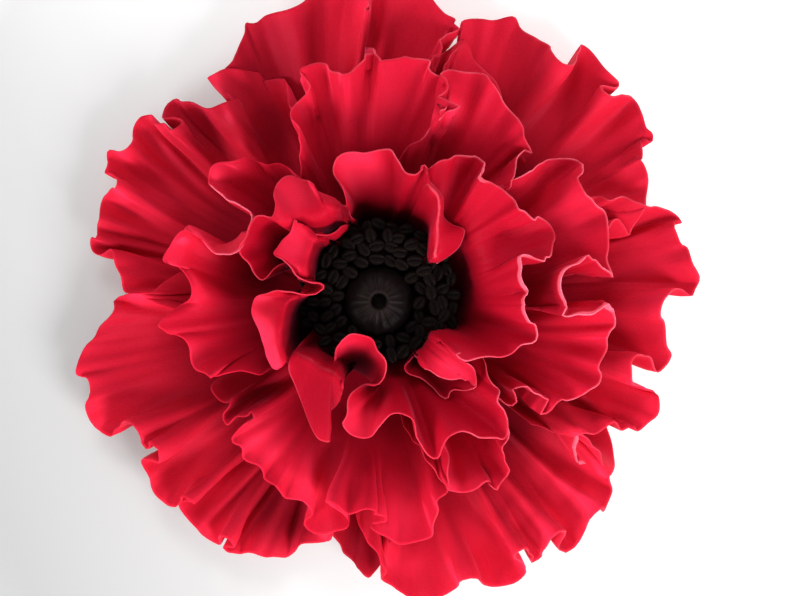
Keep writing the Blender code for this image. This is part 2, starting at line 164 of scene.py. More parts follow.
petal("petal_outer_right", OUTER_RISE, [
    (321, 47), (325, 56), (329.9, 63.8), (331.4, 65.7), (332.4, 69), (335.2, 70.8), (337.8, 72.3), (340.2, 71.7),
    (341.9, 70.2), (342.1, 67.5), (342, 65.5), (344.2, 63.6), (346.5, 62.7), (347.3, 63.3), (347, 66.7),
    (346.9, 69.9), (349.4, 71.4), (351.8, 70), (354.2, 69.2), (357.6, 67.7), (358.9, 68.1), (360.4, 69.4),
    (361.8, 70.8), (360.8, 75), (362.5, 76), (364.2, 77.1), (366.9, 75.9), (370, 75), (370.6, 73.8), (372.6, 73.3),
    (374.2, 73.2), (374.2, 75), (375.5, 74.6), (377, 72), (379.2, 69.7), (380.5, 67.8), (385, 60), (390, 48)],
    frill=0.7,
    folds=[(2.2, 1.4, 1.5, 14), (3.0, -1.0, 1.0, 12), (3.9, 1.3, 1.2, 15), (5.4, 0.8, 1.2, 10), (13.5, 1.2, 2.5, 6),
           (16.6, 0.7, 2.0, 12), (18.5, -0.5, 1.5, 12), (22.2, 1.2, 2.0, 8), (24.5, -0.8, 1.3, 24),
           (26, 0.6, 1.8, 16), (28.5, -0.5, 1.3, 14), (30.6, 1.5, 1.2, 16), (33, -0.5, 1.5, 12)],
    shade_dabs=[(328, 43, 8, 0.5)],
    highlight_dabs=[(5, 66, 10, 0.45)])
petal("petal_outer_upper_right", OUTER_RISE, [
    (8, 48), (13, 54), (17, 57.5), (18.1, 60.3), (17, 61.5), (14.7, 62.4), (20.5, 67.8), (24, 70.7), (26.8, 71.5),
    (29.3, 71), (29.8, 74.9), (30.5, 76.3), (31.6, 77), (32.9, 76.5), (35.7, 77.6), (38.7, 77.9), (41.7, 74.5),
    (43.4, 74), (42, 77.8), (46.3, 77.9), (49.8, 78.6), (51.7, 78.4), (51.8, 73.2), (52.6, 72.4), (55.7, 73.8),
    (59, 73.6), (62.8, 73.6), (64.6, 75.5), (67.8, 72.7), (70.2, 72), (73.6, 70), (73.6, 68), (73.8, 66),
    (73.5, 63.6), (73.5, 58), (75, 51), (77, 44)],
    frill=0.8,
    folds=[(7.3, -0.5, 1.5, 14), (9.8, 1.5, 1.5, 15), (11.5, -0.8, 1.5, 12), (14, 0.6, 1.6, 14)],
    shade_dabs=[(52, 60, 10, 0.2)])
petal("petal_outer_top", OUTER_RISE, [
    (131, 49), (128, 58), (124.4, 66.6), (121.1, 67.7), (117.5, 71.5), (115.6, 74.1), (113.9, 73.1), (111.7, 73.8),
    (107, 73.5), (104.3, 74.5), (101, 77.5), (97.5, 78.5), (94.8, 75.5), (92.6, 69.8), (90.6, 74.5), (88, 77.8),
    (84, 78.2), (81.5, 75.5), (79.9, 73.4), (77.2, 70.9), (74.6, 70), (74.8, 68.4), (76, 66.2), (77, 64.4), (77, 62),
    (77.5, 57), (78, 47)],
    frill=0.6,
    folds=[(4, 1.0, 2.0, 20), (6.2, -0.9, 1.5, 20), (8.4, 1.6, 3.0, 26), (12.6, -1.8, 2.0, 26), (15.2, 1.8, 2.4, 26),
           (18, -0.7, 2.0, 18), (20.5, 0.8, 1.5, 12)],
    shade_dabs=[(121, 53, 9, 0.4), (117, 66, 18, 0.3)])
petal("petal_outer_upper_left", OUTER_RISE, [
    (106, 40), (109, 46), (113.7, 50.7), (115.4, 52.7), (115.2, 56), (115, 58.1), (118.1, 59.6), (119.1, 62.4),
    (124.4, 66.6), (127.9, 67.5), (125.5, 62.5), (123.8, 59.2), (129.3, 61), (132.8, 63.9), (135.3, 68.7),
    (136.9, 69.2), (138.4, 64.2), (141.1, 67.6), (142, 72.2), (143.7, 72.5), (145.6, 71.3), (147.7, 70.8),
    (150.1, 72.2), (151.2, 74.5), (152.9, 73.2), (155.4, 72.7), (154.8, 69.8), (156.8, 69), (160.3, 70.6),
    (164.2, 70.3), (167, 69.8), (167.4, 70.9), (170, 70), (170.4, 66.9), (171.2, 64.5), (175.3, 61.7), (177.1, 60),
    (181, 55), (185, 47)],
    folds=[(10.6, -1.5, 1.5, 16), (11.3, 1.4, 1.5, 14), (12.6, 0.8, 1.6, 14), (13.2, -0.8, 1.5, 14),
           (15.3, -1.8, 1.3, 14), (16.2, 1.6, 1.2, 10), (17.6, -1.2, 1.3, 18), (18.8, 1.0, 1.5, 18),
           (20.2, -0.5, 1.3, 14), (21.3, 1.0, 1.5, 20), (22.6, -0.5, 1.2, 12), (23.8, -1.3, 1.4, 18),
           (26.6, 1.5, 1.7, 20), (28.0, -1.2, 1.3, 14), (28.7, 0.9, 1.2, 16), (29.4, -1.0, 1.2, 22),
           (30.2, 0.8, 1.0, 20), (31.5, -1.5, 1.4, 24), (33.4, 1.2, 1.7, 20), (35.6, -1.5, 1.7, 20)],
    shade_dabs=[(122, 50, 10, 0.42), (132, 62, 18, 0.25), (166, 69, 8, 0.22)],
    highlight_dabs=[(156, 59.5, 6, 0.5)])
petal("petal_outer_lower_left", OUTER_RISE, [
    (172, 46), (176, 54), (179.2, 60.7), (180, 63.8), (181.8, 63.8), (183.1, 65), (185.6, 67.6), (187.4, 69),
    (188, 70.6), (191.2, 73.6), (193.6, 74.9), (194.8, 72.7), (197.3, 72.8), (199.5, 75), (203.3, 74.9),
    (207.2, 71.7), (206.5, 67.8), (210.1, 66.1), (211.8, 65.9), (212.5, 64.8), (214.3, 68.5), (218.9, 70),
    (221, 71.2), (225.8, 69.8), (227.1, 68.1), (227.7, 65.8), (228.6, 69), (230.3, 70.2), (233.6, 70.3),
    (235.3, 68.8), (236.9, 68.2), (237.6, 70), (238.9, 70.5), (242.6, 68.2), (246.8, 67.1), (249.9, 64.3),
    (252.4, 61.9), (255.7, 58.6), (256, 57.5), (259, 53), (263, 45)],
    folds=[(5.5, 0.7, 2.5, 16), (8.5, -0.6, 2.0, 20), (12, 0.7, 3.0, 14), (14.6, -0.6, 2.0, 10), (16.4, 1.2, 1.6, 12),
           (17.8, -2.4, 1.2, 10), (19.3, 2.2, 1.6, 20), (21.5, -0.7, 2.0, 20), (24.6, 1.6, 1.2, 22),
           (25.8, -2.6, 1.5, 24), (27.4, 1.8, 1.5, 22), (28.5, -1.0, 1.2, 16), (29.8, 1.8, 1.6, 26),
           (31.4, -1.8, 1.4, 24), (33.2, 1.6, 1.5, 24), (34.6, -1.5, 1.3, 20), (36, 1.4, 1.4, 18),
           (37.5, -1.0, 1.2, 14), (39, 1.0, 1.3, 12)],
    shade_dabs=[(199, 57, 18, 0.2), (188, 66, 12, 0.28), (228, 60, 12, 0.1), (246, 56, 12, 0.5), (237, 60, 8, 0.2)])
petal("petal_outer_upper_right_small", OUTER_RISE, [
    (50, 42), (54, 50), (56.4, 55.4), (61.9, 59.6), (64.7, 60.6), (68.7, 62.3), (70.3, 64.3), (72.1, 65.5),
    (73.4, 64.2), (75, 62), (78, 59.5), (81, 54), (83, 46)],
    calm=4, frill=0.5)
petal("petal_middle_bottom", MIDDLE_RISE, [
    (204, 32, 12), (205, 38, 14), (206.8, 45.2, 19), (209.2, 45.7, 20), (212.5, 45.1, 21), (214.6, 43.4, 23),
    (212.8, 42, 24), (215.4, 43.9, 24.5), (217.5, 46.9, 22.5), (219.1, 47, 23), (218.4, 44.1, 25), (220.7, 42, 27),
    (221.6, 40.8, 29), (222.2, 41.6, 30.5), (221.6, 43.4, 30.5), (222.5, 44.7, 30), (223.9, 49.1, 28.5),
    (227.2, 49.1, 28.5), (231.2, 50.1, 28), (236.8, 50.3, 28), (240.1, 52.1, 27), (243.5, 52.2, 27.5),
    (247.8, 52.6, 27), (251.4, 53.8, 26.5), (253.5, 56.4, 24), (256.2, 57.4, 23), (259.5, 56.3, 22.5),
    (261.9, 55.2, 22.5), (262.6, 53.4, 22.5), (260.2, 51.6, 23.5), (256.8, 50.2, 25.5), (255.4, 49.8, 28),
    (256.8, 50.3, 30.5), (260.6, 51, 31), (266.3, 50.7, 31), (270.2, 50.4, 31), (271.3, 51.6, 29), (270.2, 53, 27),
    (267.5, 53.9, 25.5), (269, 55.4, 26), (271, 56.4, 27), (273.6, 57.8, 27), (276.2, 58.7, 26.5), (281.6, 58.3, 26),
    (282.9, 57.8, 26.5), (283.8, 55.3, 28), (285, 51.9, 30), (286.3, 49.9, 30.5), (289.6, 48.8, 29), (293, 42),
    (297, 33)],
    calm=6, frill=0.6, gloom=0.35,
    folds=[(16.6, 0.9, 1.3, 8), (17.5, -0.8, 1.1, 8), (18.5, 1.2, 1.5, 10), (19.3, -1.1, 1.2, 9),
           (20.3, 1.6, 1.5, 11), (21.3, -1.2, 1.3, 9), (22.3, 1.8, 1.5, 12), (24.4, -2.0, 2.0, 13), (26, 0.8, 1.2, 8),
           (32.2, 1.6, 1.8, 11), (33.2, -0.8, 1.0, 8), (34, 1.5, 1.8, 11), (35.4, -1.6, 1.2, 10), (36.8, 0.8, 1.0, 9),
           (41.6, -0.8, 1.2, 10), (46, -1.0, 2.0, 12)],
    rolls=[(13, 24, 5.0, 7.0)],
    shade_dabs=[(210, 37, 12, 0.5)],
    highlight_dabs=[(229, 44, 8, 0.6), (250, 49, 7, 0.55), (274, 52, 6, 0.5), (252, 42, 8, 0.4)])
petal("petal_middle_lower_right", MIDDLE_RISE, [
    (283, 30), (285.5, 36), (288.3, 41.5), (288.6, 45.2), (289.6, 47.6), (291.5, 48.7), (295.1, 51.1), (297.4, 51.4),
    (299.5, 51), (302.2, 50.9), (302, 53.7), (304.9, 51.8), (307.2, 51.5), (307.6, 48.8), (309.6, 46.2),
    (312.7, 44.8), (316, 40), (320, 33)],
    folds=[(7.0, 1.3, 2.4, 12), (8.4, 0.5, 0.8, 8), (9.2, -0.7, 0.8, 8), (10.2, 1.0, 0.8, 8), (11.2, -0.8, 0.8, 8),
           (13, -0.6, 1.5, 10)],
    highlight_dabs=[(294, 46, 7, 0.45)])
petal("petal_middle_right", MIDDLE_RISE, [
    (47, 34), (44, 38), (41.9, 46.5), (40.6, 50.7), (39.9, 53.2), (36.7, 57.1), (34.5, 58.8), (33, 58.3, 28),
    (32, 56.3, 29.5), (28.9, 56.2, 29), (24, 57.3), (21.6, 58.3), (19.2, 58.2), (16.2, 57.5), (13.2, 56.6),
    (10.7, 55.6), (6.1, 56.5, 26), (11.5, 52.4, 31), (10, 50.4, 33), (6.9, 46.9, 35), (3.4, 44.3, 36),
    (-0.6, 43.8, 36.5), (-3.1, 44.7, 36.5), (-4.6, 46.7, 36), (-4.2, 51, 34.5), (-1.3, 56.2, 30.5), (-4.6, 56.9, 28),
    (-7.1, 56.2, 28), (-9.6, 55.6), (-11.9, 55.8), (-14.9, 55.3), (-17.5, 55.2), (-19.2, 56.2), (-21.3, 56.2),
    (-23.9, 54.7), (-26.1, 52.6), (-28.8, 50.9), (-30.8, 49.7, 26), (-32.5, 48.4, 26), (-32.5, 46.5, 27),
    (-30.6, 43.8, 30), (-30, 41.3, 31.5), (-32.5, 38.8, 31), (-34.2, 38.4, 29.5), (-37, 40.7, 26), (-40, 36),
    (-43, 30)],
    calm=4, frill=0.6,
    crest=[(22, -2.0, 45.2, 34), (23, -2.5, 47.0, 32), (23.5, -2.3, 49.3, 30.5), (24, -1.9, 51.2, 29.5),
           (24.6, -1.2, 54.0, 28)],
    folds=[(7.5, -0.7, 1.5, 12), (9, 0.9, 2.0, 14), (11.2, -0.5, 1.3, 12), (13, 0.8, 2.0, 12), (19, 1.5, 3.0, 9),
           (26.4, -0.5, 1.0, 12), (27.6, 0.8, 1.4, 14), (29, -0.6, 1.2, 12), (30.4, 0.6, 1.2, 12),
           (31.8, -1.0, 1.5, 16), (33.6, 0.7, 1.3, 14), (35, -0.7, 1.2, 14), (36.6, 0.9, 1.4, 14),
           (38.6, -1.4, 1.6, 12)],
    rims=[(17.6, 24.4, 0.9), (22.5, 25.2, 1.5)],
    highlight_dabs=[(24, 48, 9, 0.3)])
petal("petal_middle_top", MIDDLE_RISE, [
    (122, 34), (119.5, 38), (117.5, 40.7), (115.4, 43.8), (114, 47.1), (112.9, 50.4), (108, 53.3), (109, 58.9),
    (106.2, 59.2), (103.9, 58.8), (101.8, 56.5), (99.1, 55.5), (96.7, 55.9), (92.2, 58.8), (92.1, 61.1), (91, 58.4),
    (90, 57.6), (85, 59), (84, 59.3), (82.1, 59.1), (80.3, 59.2), (77.6, 59), (76.9, 56.8), (73.8, 55.2),
    (70.9, 52.8), (70, 51), (71.8, 47.8), (73, 46, 19), (72, 41, 13), (68, 33, 9)],
    frill=0.5, gloom=0.2,
    folds=[(4.5, -1.2, 3.0, 14), (7.4, 1.3, 1.2, 12), (9.3, -0.8, 1.3, 14), (11.4, 1.4, 0.9, 8), (15.2, -0.5, 1.2, 8),
           (18, 0.6, 3.0, 10), (22, 0.7, 1.2, 9), (24.6, 1.0, 1.2, 9), (26, -0.8, 0.9, 7)],
    highlight_dabs=[(93, 44, 11, 0.22)])
petal("petal_middle_upper_right", MIDDLE_RISE, [
    (86, 30, 17), (79.5, 37, 24), (74.0, 43, 27.5), (71.6, 47, 28), (70.6, 51.6), (73.9, 55.5), (73.6, 56.9),
    (71.9, 58), (68.6, 58.9), (64.8, 60.3), (61.8, 59.3), (59.3, 57.2), (55.8, 55.3), (52.3, 55.3), (50.1, 54.5),
    (46.7, 51.8), (44.8, 50.9), (46, 48.1), (43.6, 45.6), (41.7, 43.3), (41.9, 40.2), (39, 34)],
    frill=0.7,
    folds=[(4, 1.6, 1.6, 14), (6.5, -0.8, 1.5, 16), (9.5, 0.8, 2.5, 14), (12, -0.6, 1.5, 12), (14.5, 1.0, 1.2, 14)],
    highlight_dabs=[(68.5, 48.5, 4, 0.7), (76, 40, 5, 0.4)])
petal("petal_middle_left", MIDDLE_RISE, [
    (119, 28), (121, 32), (123.5, 36.1), (123.5, 38.9), (126.1, 41), (129.9, 42.5), (131.1, 45), (132.7, 47.5),
    (136.5, 49.3), (139.9, 51.6), (142, 51.7), (144.2, 50.4), (144.8, 48.5, 28.5), (144.6, 44.3, 31.5),
    (145.1, 40.7, 34.5), (146.2, 37.8, 36), (151.4, 35.9, 36.5), (156.9, 35, 37), (161.5, 36, 37), (163.3, 39.3, 36),
    (163, 43, 34.5), (161.4, 46.6, 32.5), (160.4, 48.9, 30.5), (161.1, 50.7, 29), (164.7, 52.1, 27),
    (168.9, 53.8, 26), (171.6, 52.4, 26), (172.5, 50, 27), (174.5, 47.8, 27.5), (177.3, 46.7, 27.5), (180, 47.3, 27),
    (182.7, 49.6, 28), (185.8, 53.7, 28), (187.6, 52.7, 27), (189.6, 51, 26), (191.1, 48.2, 26), (193.9, 46.7, 26),
    (198.4, 46.5, 26.5), (202.4, 45.7, 27.5), (205.6, 45.6, 27.5), (206.4, 41.6, 27.5), (208, 37, 27),
    (211.9, 33.9, 26.5), (211.5, 31, 24), (214, 25, 16)],
    calm=4, frill=0.6,
    crest=[(16.5, 153, 37.2, 33.5), (18, 157.6, 38.6, 31), (19, 160.4, 41.7, 29), (20, 160.8, 44.4, 27.5),
           (21, 160.2, 47.4, 27), (22, 159.8, 49, 27)],
    folds=[(26, 1.2, 3.0, 9), (29, 2.6, 3.2, 11), (33, 1.6, 2.2, 14), (37, -1.2, 3.0, 10), (39, 1.6, 2.0, 12),
           (6, 1.0, 4.0, 12)],
    rolls=[(8, 15, 3.0, 3.2), (23, 31, 3.4, 3.4)],
    rims=[(11.6, 15.5, 0.6), (17, 20, 0.35)],
    shade_dabs=[(168, 29, 8, 0.55)],
    highlight_dabs=[(176, 46, 4.0, 0.3), (167, 51.5, 4.5, 0.5), (196, 48, 5, 0.4), (142, 51, 4, 0.5)])
petal("petal_inner_bottom", INNER_RISE, [
    (228, 17, 22), (233, 18.5, 26), (237, 19.9, 31), (233, 17.4, 34), (227.2, 14.7, 36), (224.2, 12.9, 37),
    (226.4, 10.7, 37.5), (235.2, 9.3, 38), (251.6, 8.8, 38.5), (262.6, 9.7, 38.5), (270, 11.8, 38), (275, 13.7, 37.5),
    (275.9, 14.9, 37), (273.1, 17, 36), (270.7, 18.5, 35.5), (268, 19.5, 35.5), (260, 20.1, 36), (255.1, 22.1, 36),
    (253.1, 24.8, 36), (253.6, 27.7, 35.5), (253.1, 30.6, 35), (255.8, 31.9, 34.5), (259.5, 32.8, 34),
    (262.8, 32.9, 34), (265.9, 32, 34.5), (269.8, 30.3, 35.5), (274.1, 28.5, 37), (278, 27.7, 38),
    (281.9, 27.8, 38.5), (285.5, 29.5, 38.5), (286.2, 31.5, 38), (286.2, 34.7, 37), (287.6, 37.3, 36),
    (289.8, 40.3, 34.5), (293.6, 39.3, 36), (298, 37.2, 38), (302.1, 37.2, 38), (304.7, 38.8, 37), (306.6, 40.9, 36),
    (310.3, 43.1, 34.5), (312.7, 44.8, 33.5), (316.6, 42.3, 35), (318.4, 40.5, 36), (320, 37.5, 37),
    (323.4, 36.2, 36), (323.7, 34.5, 35), (326.1, 31.7, 33), (330.9, 29.4, 31), (334, 24, 26), (338, 18, 20)],
    calm=2.2, frill=0.4,
    crest=[(2, 238, 19.8, 24), (5, 240, 18.6, 20), (7, 244, 17.8, 17), (8, 249, 17.4, 16), (10, 255, 17.4, 16),
           (12, 260, 18, 17), (15, 264, 19.2, 21), (17, 267, 20.4, 25), (18, 269, 21.4, 28), (20, 269, 21.0, 28),
           (22, 271, 20.0, 25), (25, 275, 18.5, 22), (28, 281, 17.6, 21), (32, 289, 17.6, 21), (36, 297, 18.5, 22),
           (40, 304, 20.0, 23)],
    shade_dabs=[(253, 16.5, 6.0, 0.92)],
    highlight_dabs=[(262, 29.5, 6, 0.65), (238, 13.5, 4, 0.55)])
petal("petal_inner_small", INNER_RISE, [
    (311, 14, 17), (307, 14.6, 21), (305.2, 15.2, 25), (298, 15.8, 27.5), (291, 16.6, 28.5), (290.5, 17.8, 28.5),
    (295.6, 20.2, 28.5), (298.6, 21.5, 28.5), (301.6, 24.2, 29), (302.6, 27, 29.5), (305, 28.6, 29.5),
    (309.3, 27.9, 30), (314, 29.8, 30), (318.8, 31, 30.5), (322, 27, 26), (325, 20, 18)],
    calm=3, frill=0.3, dark=(14, 35))
petal("petal_inner_right", INNER_RISE, [
    (78, 22, 22), (73, 29, 30), (67.9, 36.2, 36), (64.7, 38.2), (62.6, 39.6), (59.7, 40.4), (55.9, 41.2),
    (53.2, 41.7), (51.1, 39.3), (49.2, 38.7), (45.4, 39.5), (40.1, 40.3), (36.7, 40.3), (33, 40.3), (29.9, 41.5),
    (27.6, 43.5), (24.4, 45), (21.6, 45.4), (18.7, 44.6), (14.2, 42, 35), (15, 39.9, 37), (17.9, 37.6, 39),
    (17.8, 35.6, 40), (14.7, 34.4, 40.5), (10.4, 33.9, 40.5), (6, 34.7, 40), (4.3, 36.5, 38), (2.3, 36.1, 38.5),
    (1.4, 34.6, 39.5), (-1.6, 33.7, 40), (-5.7, 34.7, 39), (-7.3, 37, 37), (-8.9, 38.1, 36), (-12.7, 38, 36),
    (-15.7, 36.6, 36.5), (-19, 34.6, 37), (-23.7, 32.7, 37), (-26.3, 30, 37), (-30.3, 27.6, 37), (-35, 25.3, 37),
    (-36.2, 23, 36.5), (-34, 23.6, 35.5), (-33.5, 26.5, 34.5), (-36.5, 29, 34), (-41.2, 31, 33.5), (-41.7, 27.8, 34),
    (-46.8, 25.8, 34.5), (-51.4, 23.3, 34.5), (-54.8, 20, 34), (-56, 17.5, 30), (-57, 15, 23)],
    calm=3, frill=0.7, dark=(8, 30),
    crest=[(36.5, -22, 18.6, 27), (38, -27, 17.4, 30.5), (40, -32, 17.0, 32), (42, -36, 16.9, 32.5),
           (44, -42, 16.9, 33), (46, -48, 17.2, 33), (48, -53, 17.7, 32)],
    folds=[(4, 0.5, 1.5, 14), (6.5, -0.6, 1.2, 12), (8.5, 0.5, 1.0, 14), (12, -0.5, 1.5, 12), (14.5, 0.4, 1.2, 12),
           (16.5, -0.4, 1.2, 10), (23, -0.6, 1.2, 12), (26, 0.5, 0.8, 9), (28.5, -0.5, 1.0, 12), (31, 0.5, 1.0, 10),
           (33, -0.6, 1.0, 12), (34.5, 0.4, 1.2, 12)],
    rims=[(7.2, 9.2, 0.7), (20.6, 26.2, 0.8), (27.6, 31.5, 0.6)],
    highlight_dabs=[(-45, 24, 6, 0.55)])
petal("petal_inner_top", INNER_RISE, [
    (117, 19, 20), (112, 22, 28), (108.7, 24.6, 33), (107.1, 27.9), (108.1, 31.2), (108.3, 33.5), (106.5, 35.4),
    (103.6, 36.2), (99.7, 36), (95.8, 35.4), (89.8, 36.3), (85.3, 36.6), (84, 35.7), (82, 33.7), (79.3, 31.8),
    (77.4, 31.3, 39), (73.5, 31.6, 39.5), (71.9, 32.8, 39), (71.9, 34.4, 38), (70, 33.5, 38.5), (66, 31.4, 38),
    (60.5, 30.2, 36), (56, 27.8, 33.5), (52.5, 25.4, 32), (46, 25.4, 31), (39.8, 26.9, 30.5), (36, 24.6, 31),
    (32.8, 21.5, 31.5), (32.6, 18.4, 31.5), (36, 15, 24)],
    calm=2.5, frill=0.35, dark=(14, 33), crest_highlight=True,
    crest=[(19, 69, 31.5, 38), (20, 66, 30.4, 39), (21, 60.3, 29, 39), (22, 55.6, 25.8, 38.5), (23, 51.7, 22.9, 37.5),
           (24, 47.5, 20.6, 36.5), (26, 42, 18.2, 35.5), (28, 36.5, 17, 33.5)],
    shade_dabs=[(80, 25, 9, 0.2)],
    highlight_dabs=[(99, 32, 6.5, 0.8)])
petal("petal_inner_upper_left", INNER_RISE, [
    (105, 19, 20), (107, 22, 28), (108.7, 24.6, 33), (112.6, 25.3, 35), (115.3, 27.1, 36), (117.4, 29.2, 36.5),
    (119.4, 31.7, 36.5), (121.3, 34.2), (123.4, 35.5), (125.3, 37.1), (128.1, 37.7), (131.7, 37.3), (134.5, 36),
    (137.7, 33.5, 35.5), (141.9, 32.7, 35), (145.3, 35.8, 35), (153.6, 34.9, 34), (159.7, 35, 33.5),
    (164.1, 31.9, 33), (169.8, 28.5, 31.5), (164, 26.6, 31), (158, 24.5, 29.5), (154, 21, 24), (152, 17, 18)],
    calm=3, frill=0.5, dark=(20, 33),
    crest=[(3, 112.5, 25.0, 37), (5, 117, 24.8, 37.5), (7, 124, 24.6, 37.5), (9, 129.4, 25.3, 37.5),
           (11, 134, 26.8, 37), (13, 139, 29.8, 36), (14, 142, 31.2, 35)],
    shade_dabs=[(110.5, 22.5, 3, 0.5)],
    highlight_dabs=[(130, 32.5, 6, 0.35)])
petal("petal_inner_left", INNER_RISE, [
    (106, 17, 19), (111, 19.5, 25), (116.9, 20.2, 31), (120.6, 19.8, 32), (126.4, 20, 33), (131.6, 21.2, 34.5),
    (134.8, 23.4, 36), (134.6, 26, 36.5), (135.8, 28, 36.5), (142.5, 27, 35.5), (147.1, 27.4, 35), (151.7, 27.5, 35),
    (156.1, 27.6, 35), (157.2, 25.4, 36), (159.2, 23.6, 36.5), (161.6, 22, 37), (163.7, 20.5, 37), (165.5, 18.8, 37),
    (165, 16.7, 37), (163.9, 14.7, 36.5), (165.8, 13.6, 36), (169, 14.2, 35.5), (174.4, 15.2, 36), (176, 17.3, 36.5),
    (175.7, 19.8, 37), (174.6, 22.3, 37.5), (174.1, 24.8, 37.5), (176.3, 27.5, 35.5), (177.7, 29.3, 34),
    (179.5, 30, 33), (184.7, 30.6, 32), (188.3, 30.2, 32), (194.7, 29.3, 32), (203.4, 29.6, 31.5), (211.9, 30.4, 31),
    (213.9, 29.7, 31.5), (214.5, 28.4, 32.5), (214.2, 26.4, 33.5), (214.4, 24.6, 34), (217, 21, 29), (220, 17, 21)],
    calm=2.2, frill=0.35, dark=(16, 30), sharp=(1.4, 3.4, 1.4, 0.5),
    crest=[(5, 131, 20.6, 32), (6, 134, 21, 34), (8, 137, 21.4, 37), (10, 146, 20.6, 37.5), (12, 154, 19.6, 37.5),
           (14, 160, 19, 36), (17, 164.5, 18.4, 32), (20, 167, 18.4, 29), (23, 172, 18.6, 32), (26, 177, 19.8, 36.5),
           (29, 181, 22.0, 38), (31, 188, 23.6, 38), (33, 198, 25.2, 38), (34, 205, 26.0, 37.5), (35, 210, 26.4, 37),
           (36.5, 213.5, 26, 36), (38, 214, 24.6, 34)],
    folds=[(7.6, 1.0, 0.8, 8)],
    highlight_dabs=[(147, 24.5, 5, 0.6)])
petal("petal_inner_lower_left", INNER_RISE, [
    (203, 17, 18), (207, 20, 24), (211, 23.5, 31), (214.6, 26, 35), (218.5, 27.4, 36), (225, 28.5, 36.5),
    (232.4, 30.5, 36), (239.9, 33.5, 35.5), (244.5, 35.6, 35), (246.7, 36.2, 34.5), (250.7, 35.8, 34),
    (247.8, 33.4, 34), (244.9, 31.8, 34), (245.7, 29.8, 34), (248, 27.2, 34.5), (249, 25.4, 35), (248.4, 23.6, 35.5),
    (246.8, 22, 35.5), (247, 19.5, 28), (250, 17, 20)],
    calm=2.5, frill=0.1, dark=(10, 24), crest_highlight=True, gloom=0.45, sharp=(2.4, 6.5, 1.2, 0.1),
    crest=[(2, 211, 24.2, 32), (3, 214, 23.7, 34.5), (4.5, 219, 21.9, 36), (6, 224, 21.4, 36.5), (8, 230, 21, 36.8),
           (10, 235, 20.4, 36.8), (12, 238.5, 20.2, 36.8), (14, 242, 20.7, 36.8), (16, 246, 21.6, 36.4)],
    shade_dabs=[(238, 28, 10, 0.22), (249, 17.2, 3, 0.96)])
print(len(PETALS), "petals,", sum(len(p["edge"]) for p in PETALS.values()), "edge points")

# %% [markdown]
# ## From an edge to a sheet
#
# The edge is drawn as a smooth curve through its points, and lines run down from it to the claw. Both use
# the curve that passes through all its points and takes their spacing into account, so that it makes no
# loops where the points lie close together.

# %% Curves
CURVE_STEPS = 24
LINE_STEPS = 14


def seen_place(bearing, out, height):
    """The place at a height that lines up, from the eye above, with this bearing and distance at eye level."""
    near = (EYE_HEIGHT - height) / (EYE_HEIGHT - EYE_LEVEL)
    angle = np.radians(bearing)
    return np.stack([out * near * np.cos(angle), out * near * np.sin(angle), height + 0 * out], axis=-1)


def curve_part(four, gaps, s):
    """The part between the second and third of four points, at a share s of the way, given their three gaps."""
    a, b, c, d = four
    ta, tb, tc = gaps
    m1 = (c - b) + tb * ((b - a) / ta - (c - a) / (ta + tb))
    m2 = (c - b) + tb * ((d - c) / tc - (d - b) / (tb + tc))
    return (2 * s**3 - 3 * s**2 + 1) * b + (s**3 - 2 * s**2 + s) * m1 + (3 * s**2 - 2 * s**3) * c + (s**3 - s**2) * m2


def curve_through(points, step):
    """A smooth curve through points, as places a fixed step apart, and each point's share of its length."""
    points = np.asarray(points, float)
    ends = np.vstack([2 * points[0] - points[1], points, 2 * points[-1] - points[-2]])
    share = np.linspace(0, 1, CURVE_STEPS, endpoint=False)[:, None]
    dense = []
    for n in range(len(points) - 1):
        four = ends[n:n + 4]
        gaps = [np.linalg.norm(four[k + 1] - four[k]) ** 0.5 + 1e-6 for k in range(3)]
        dense.append(curve_part(four, gaps, share))
    dense = np.vstack(dense + [points[-1:]])
    run = np.concatenate([[0], np.cumsum(np.linalg.norm(np.diff(dense, axis=0), axis=1))])
    marks = run[::CURVE_STEPS] / run[-1]
    count = max(8, int(round(run[-1] / step)))
    want = np.linspace(0, run[-1], count + 1)
    return np.stack([np.interp(want, run, dense[:, k]) for k in range(3)], axis=1), marks


def down_lines(knots):
    """Smooth lines through the knots of every column at once, as rows that close up towards the edge."""
    gaps = np.sqrt(np.linalg.norm(np.diff(knots, axis=0), axis=2)) + 1e-6
    ends = np.concatenate([(2 * knots[0] - knots[1])[None], knots, (2 * knots[-1] - knots[-2])[None]])
    wide = np.concatenate([gaps[:1], gaps, gaps[-1:]])[:, :, None]
    dense = [curve_part(ends[n:n + 4], wide[n:n + 3], s) for n in range(len(knots) - 1)
             for s in np.linspace(0, 1, LINE_STEPS, endpoint=False)]
    dense = np.array(dense + [knots[-1]])
    run = run_down(dense)
    t = np.linspace(0, 1, ROWS + 1)
    t = t + 0.12 * np.sin(np.pi * t) * t
    rows = np.empty((ROWS + 1, dense.shape[1], 3))
    for c in range(dense.shape[1]):
        for k in range(3):
            rows[:, c, k] = np.interp(t * run[-1, c], run[:, c], dense[:, c, k])
    return rows


def run_down(sheet):
    """How far each place of a sheet is from its first row, measured along its own line."""
    drop = np.linalg.norm(np.diff(sheet, axis=0), axis=2)
    return np.concatenate([np.zeros((1, sheet.shape[1])), np.cumsum(drop, axis=0)])


def soften(line, width, step):
    """A line blurred along its length, its two ends held."""
    if width <= 0:
        return line
    reach = min(int(math.ceil(3 * width / step)), len(line) - 1)
    kernel = np.exp(-0.5 * (np.arange(-reach, reach + 1) * step / width) ** 2)
    kernel /= kernel.sum()
    before = 2 * line[0] - line[reach:0:-1]
    after = 2 * line[-1] - line[-2:-reach - 2:-1]
    padded = np.vstack([before, line, after])
    return np.stack([np.convolve(padded[:, k], kernel, mode="valid") for k in range(line.shape[1])], axis=1)


def eased(value, low, high):
    """Nought below low, one above high, and a soft step between."""
    share = np.clip((value - low) / (high - low), 0, 1)
    return share * share * (3 - 2 * share)


print("a straight edge of 10 mm makes", len(curve_through([(0, 0, 0), (10, 0, 0)], 1.0)[0]), "places")

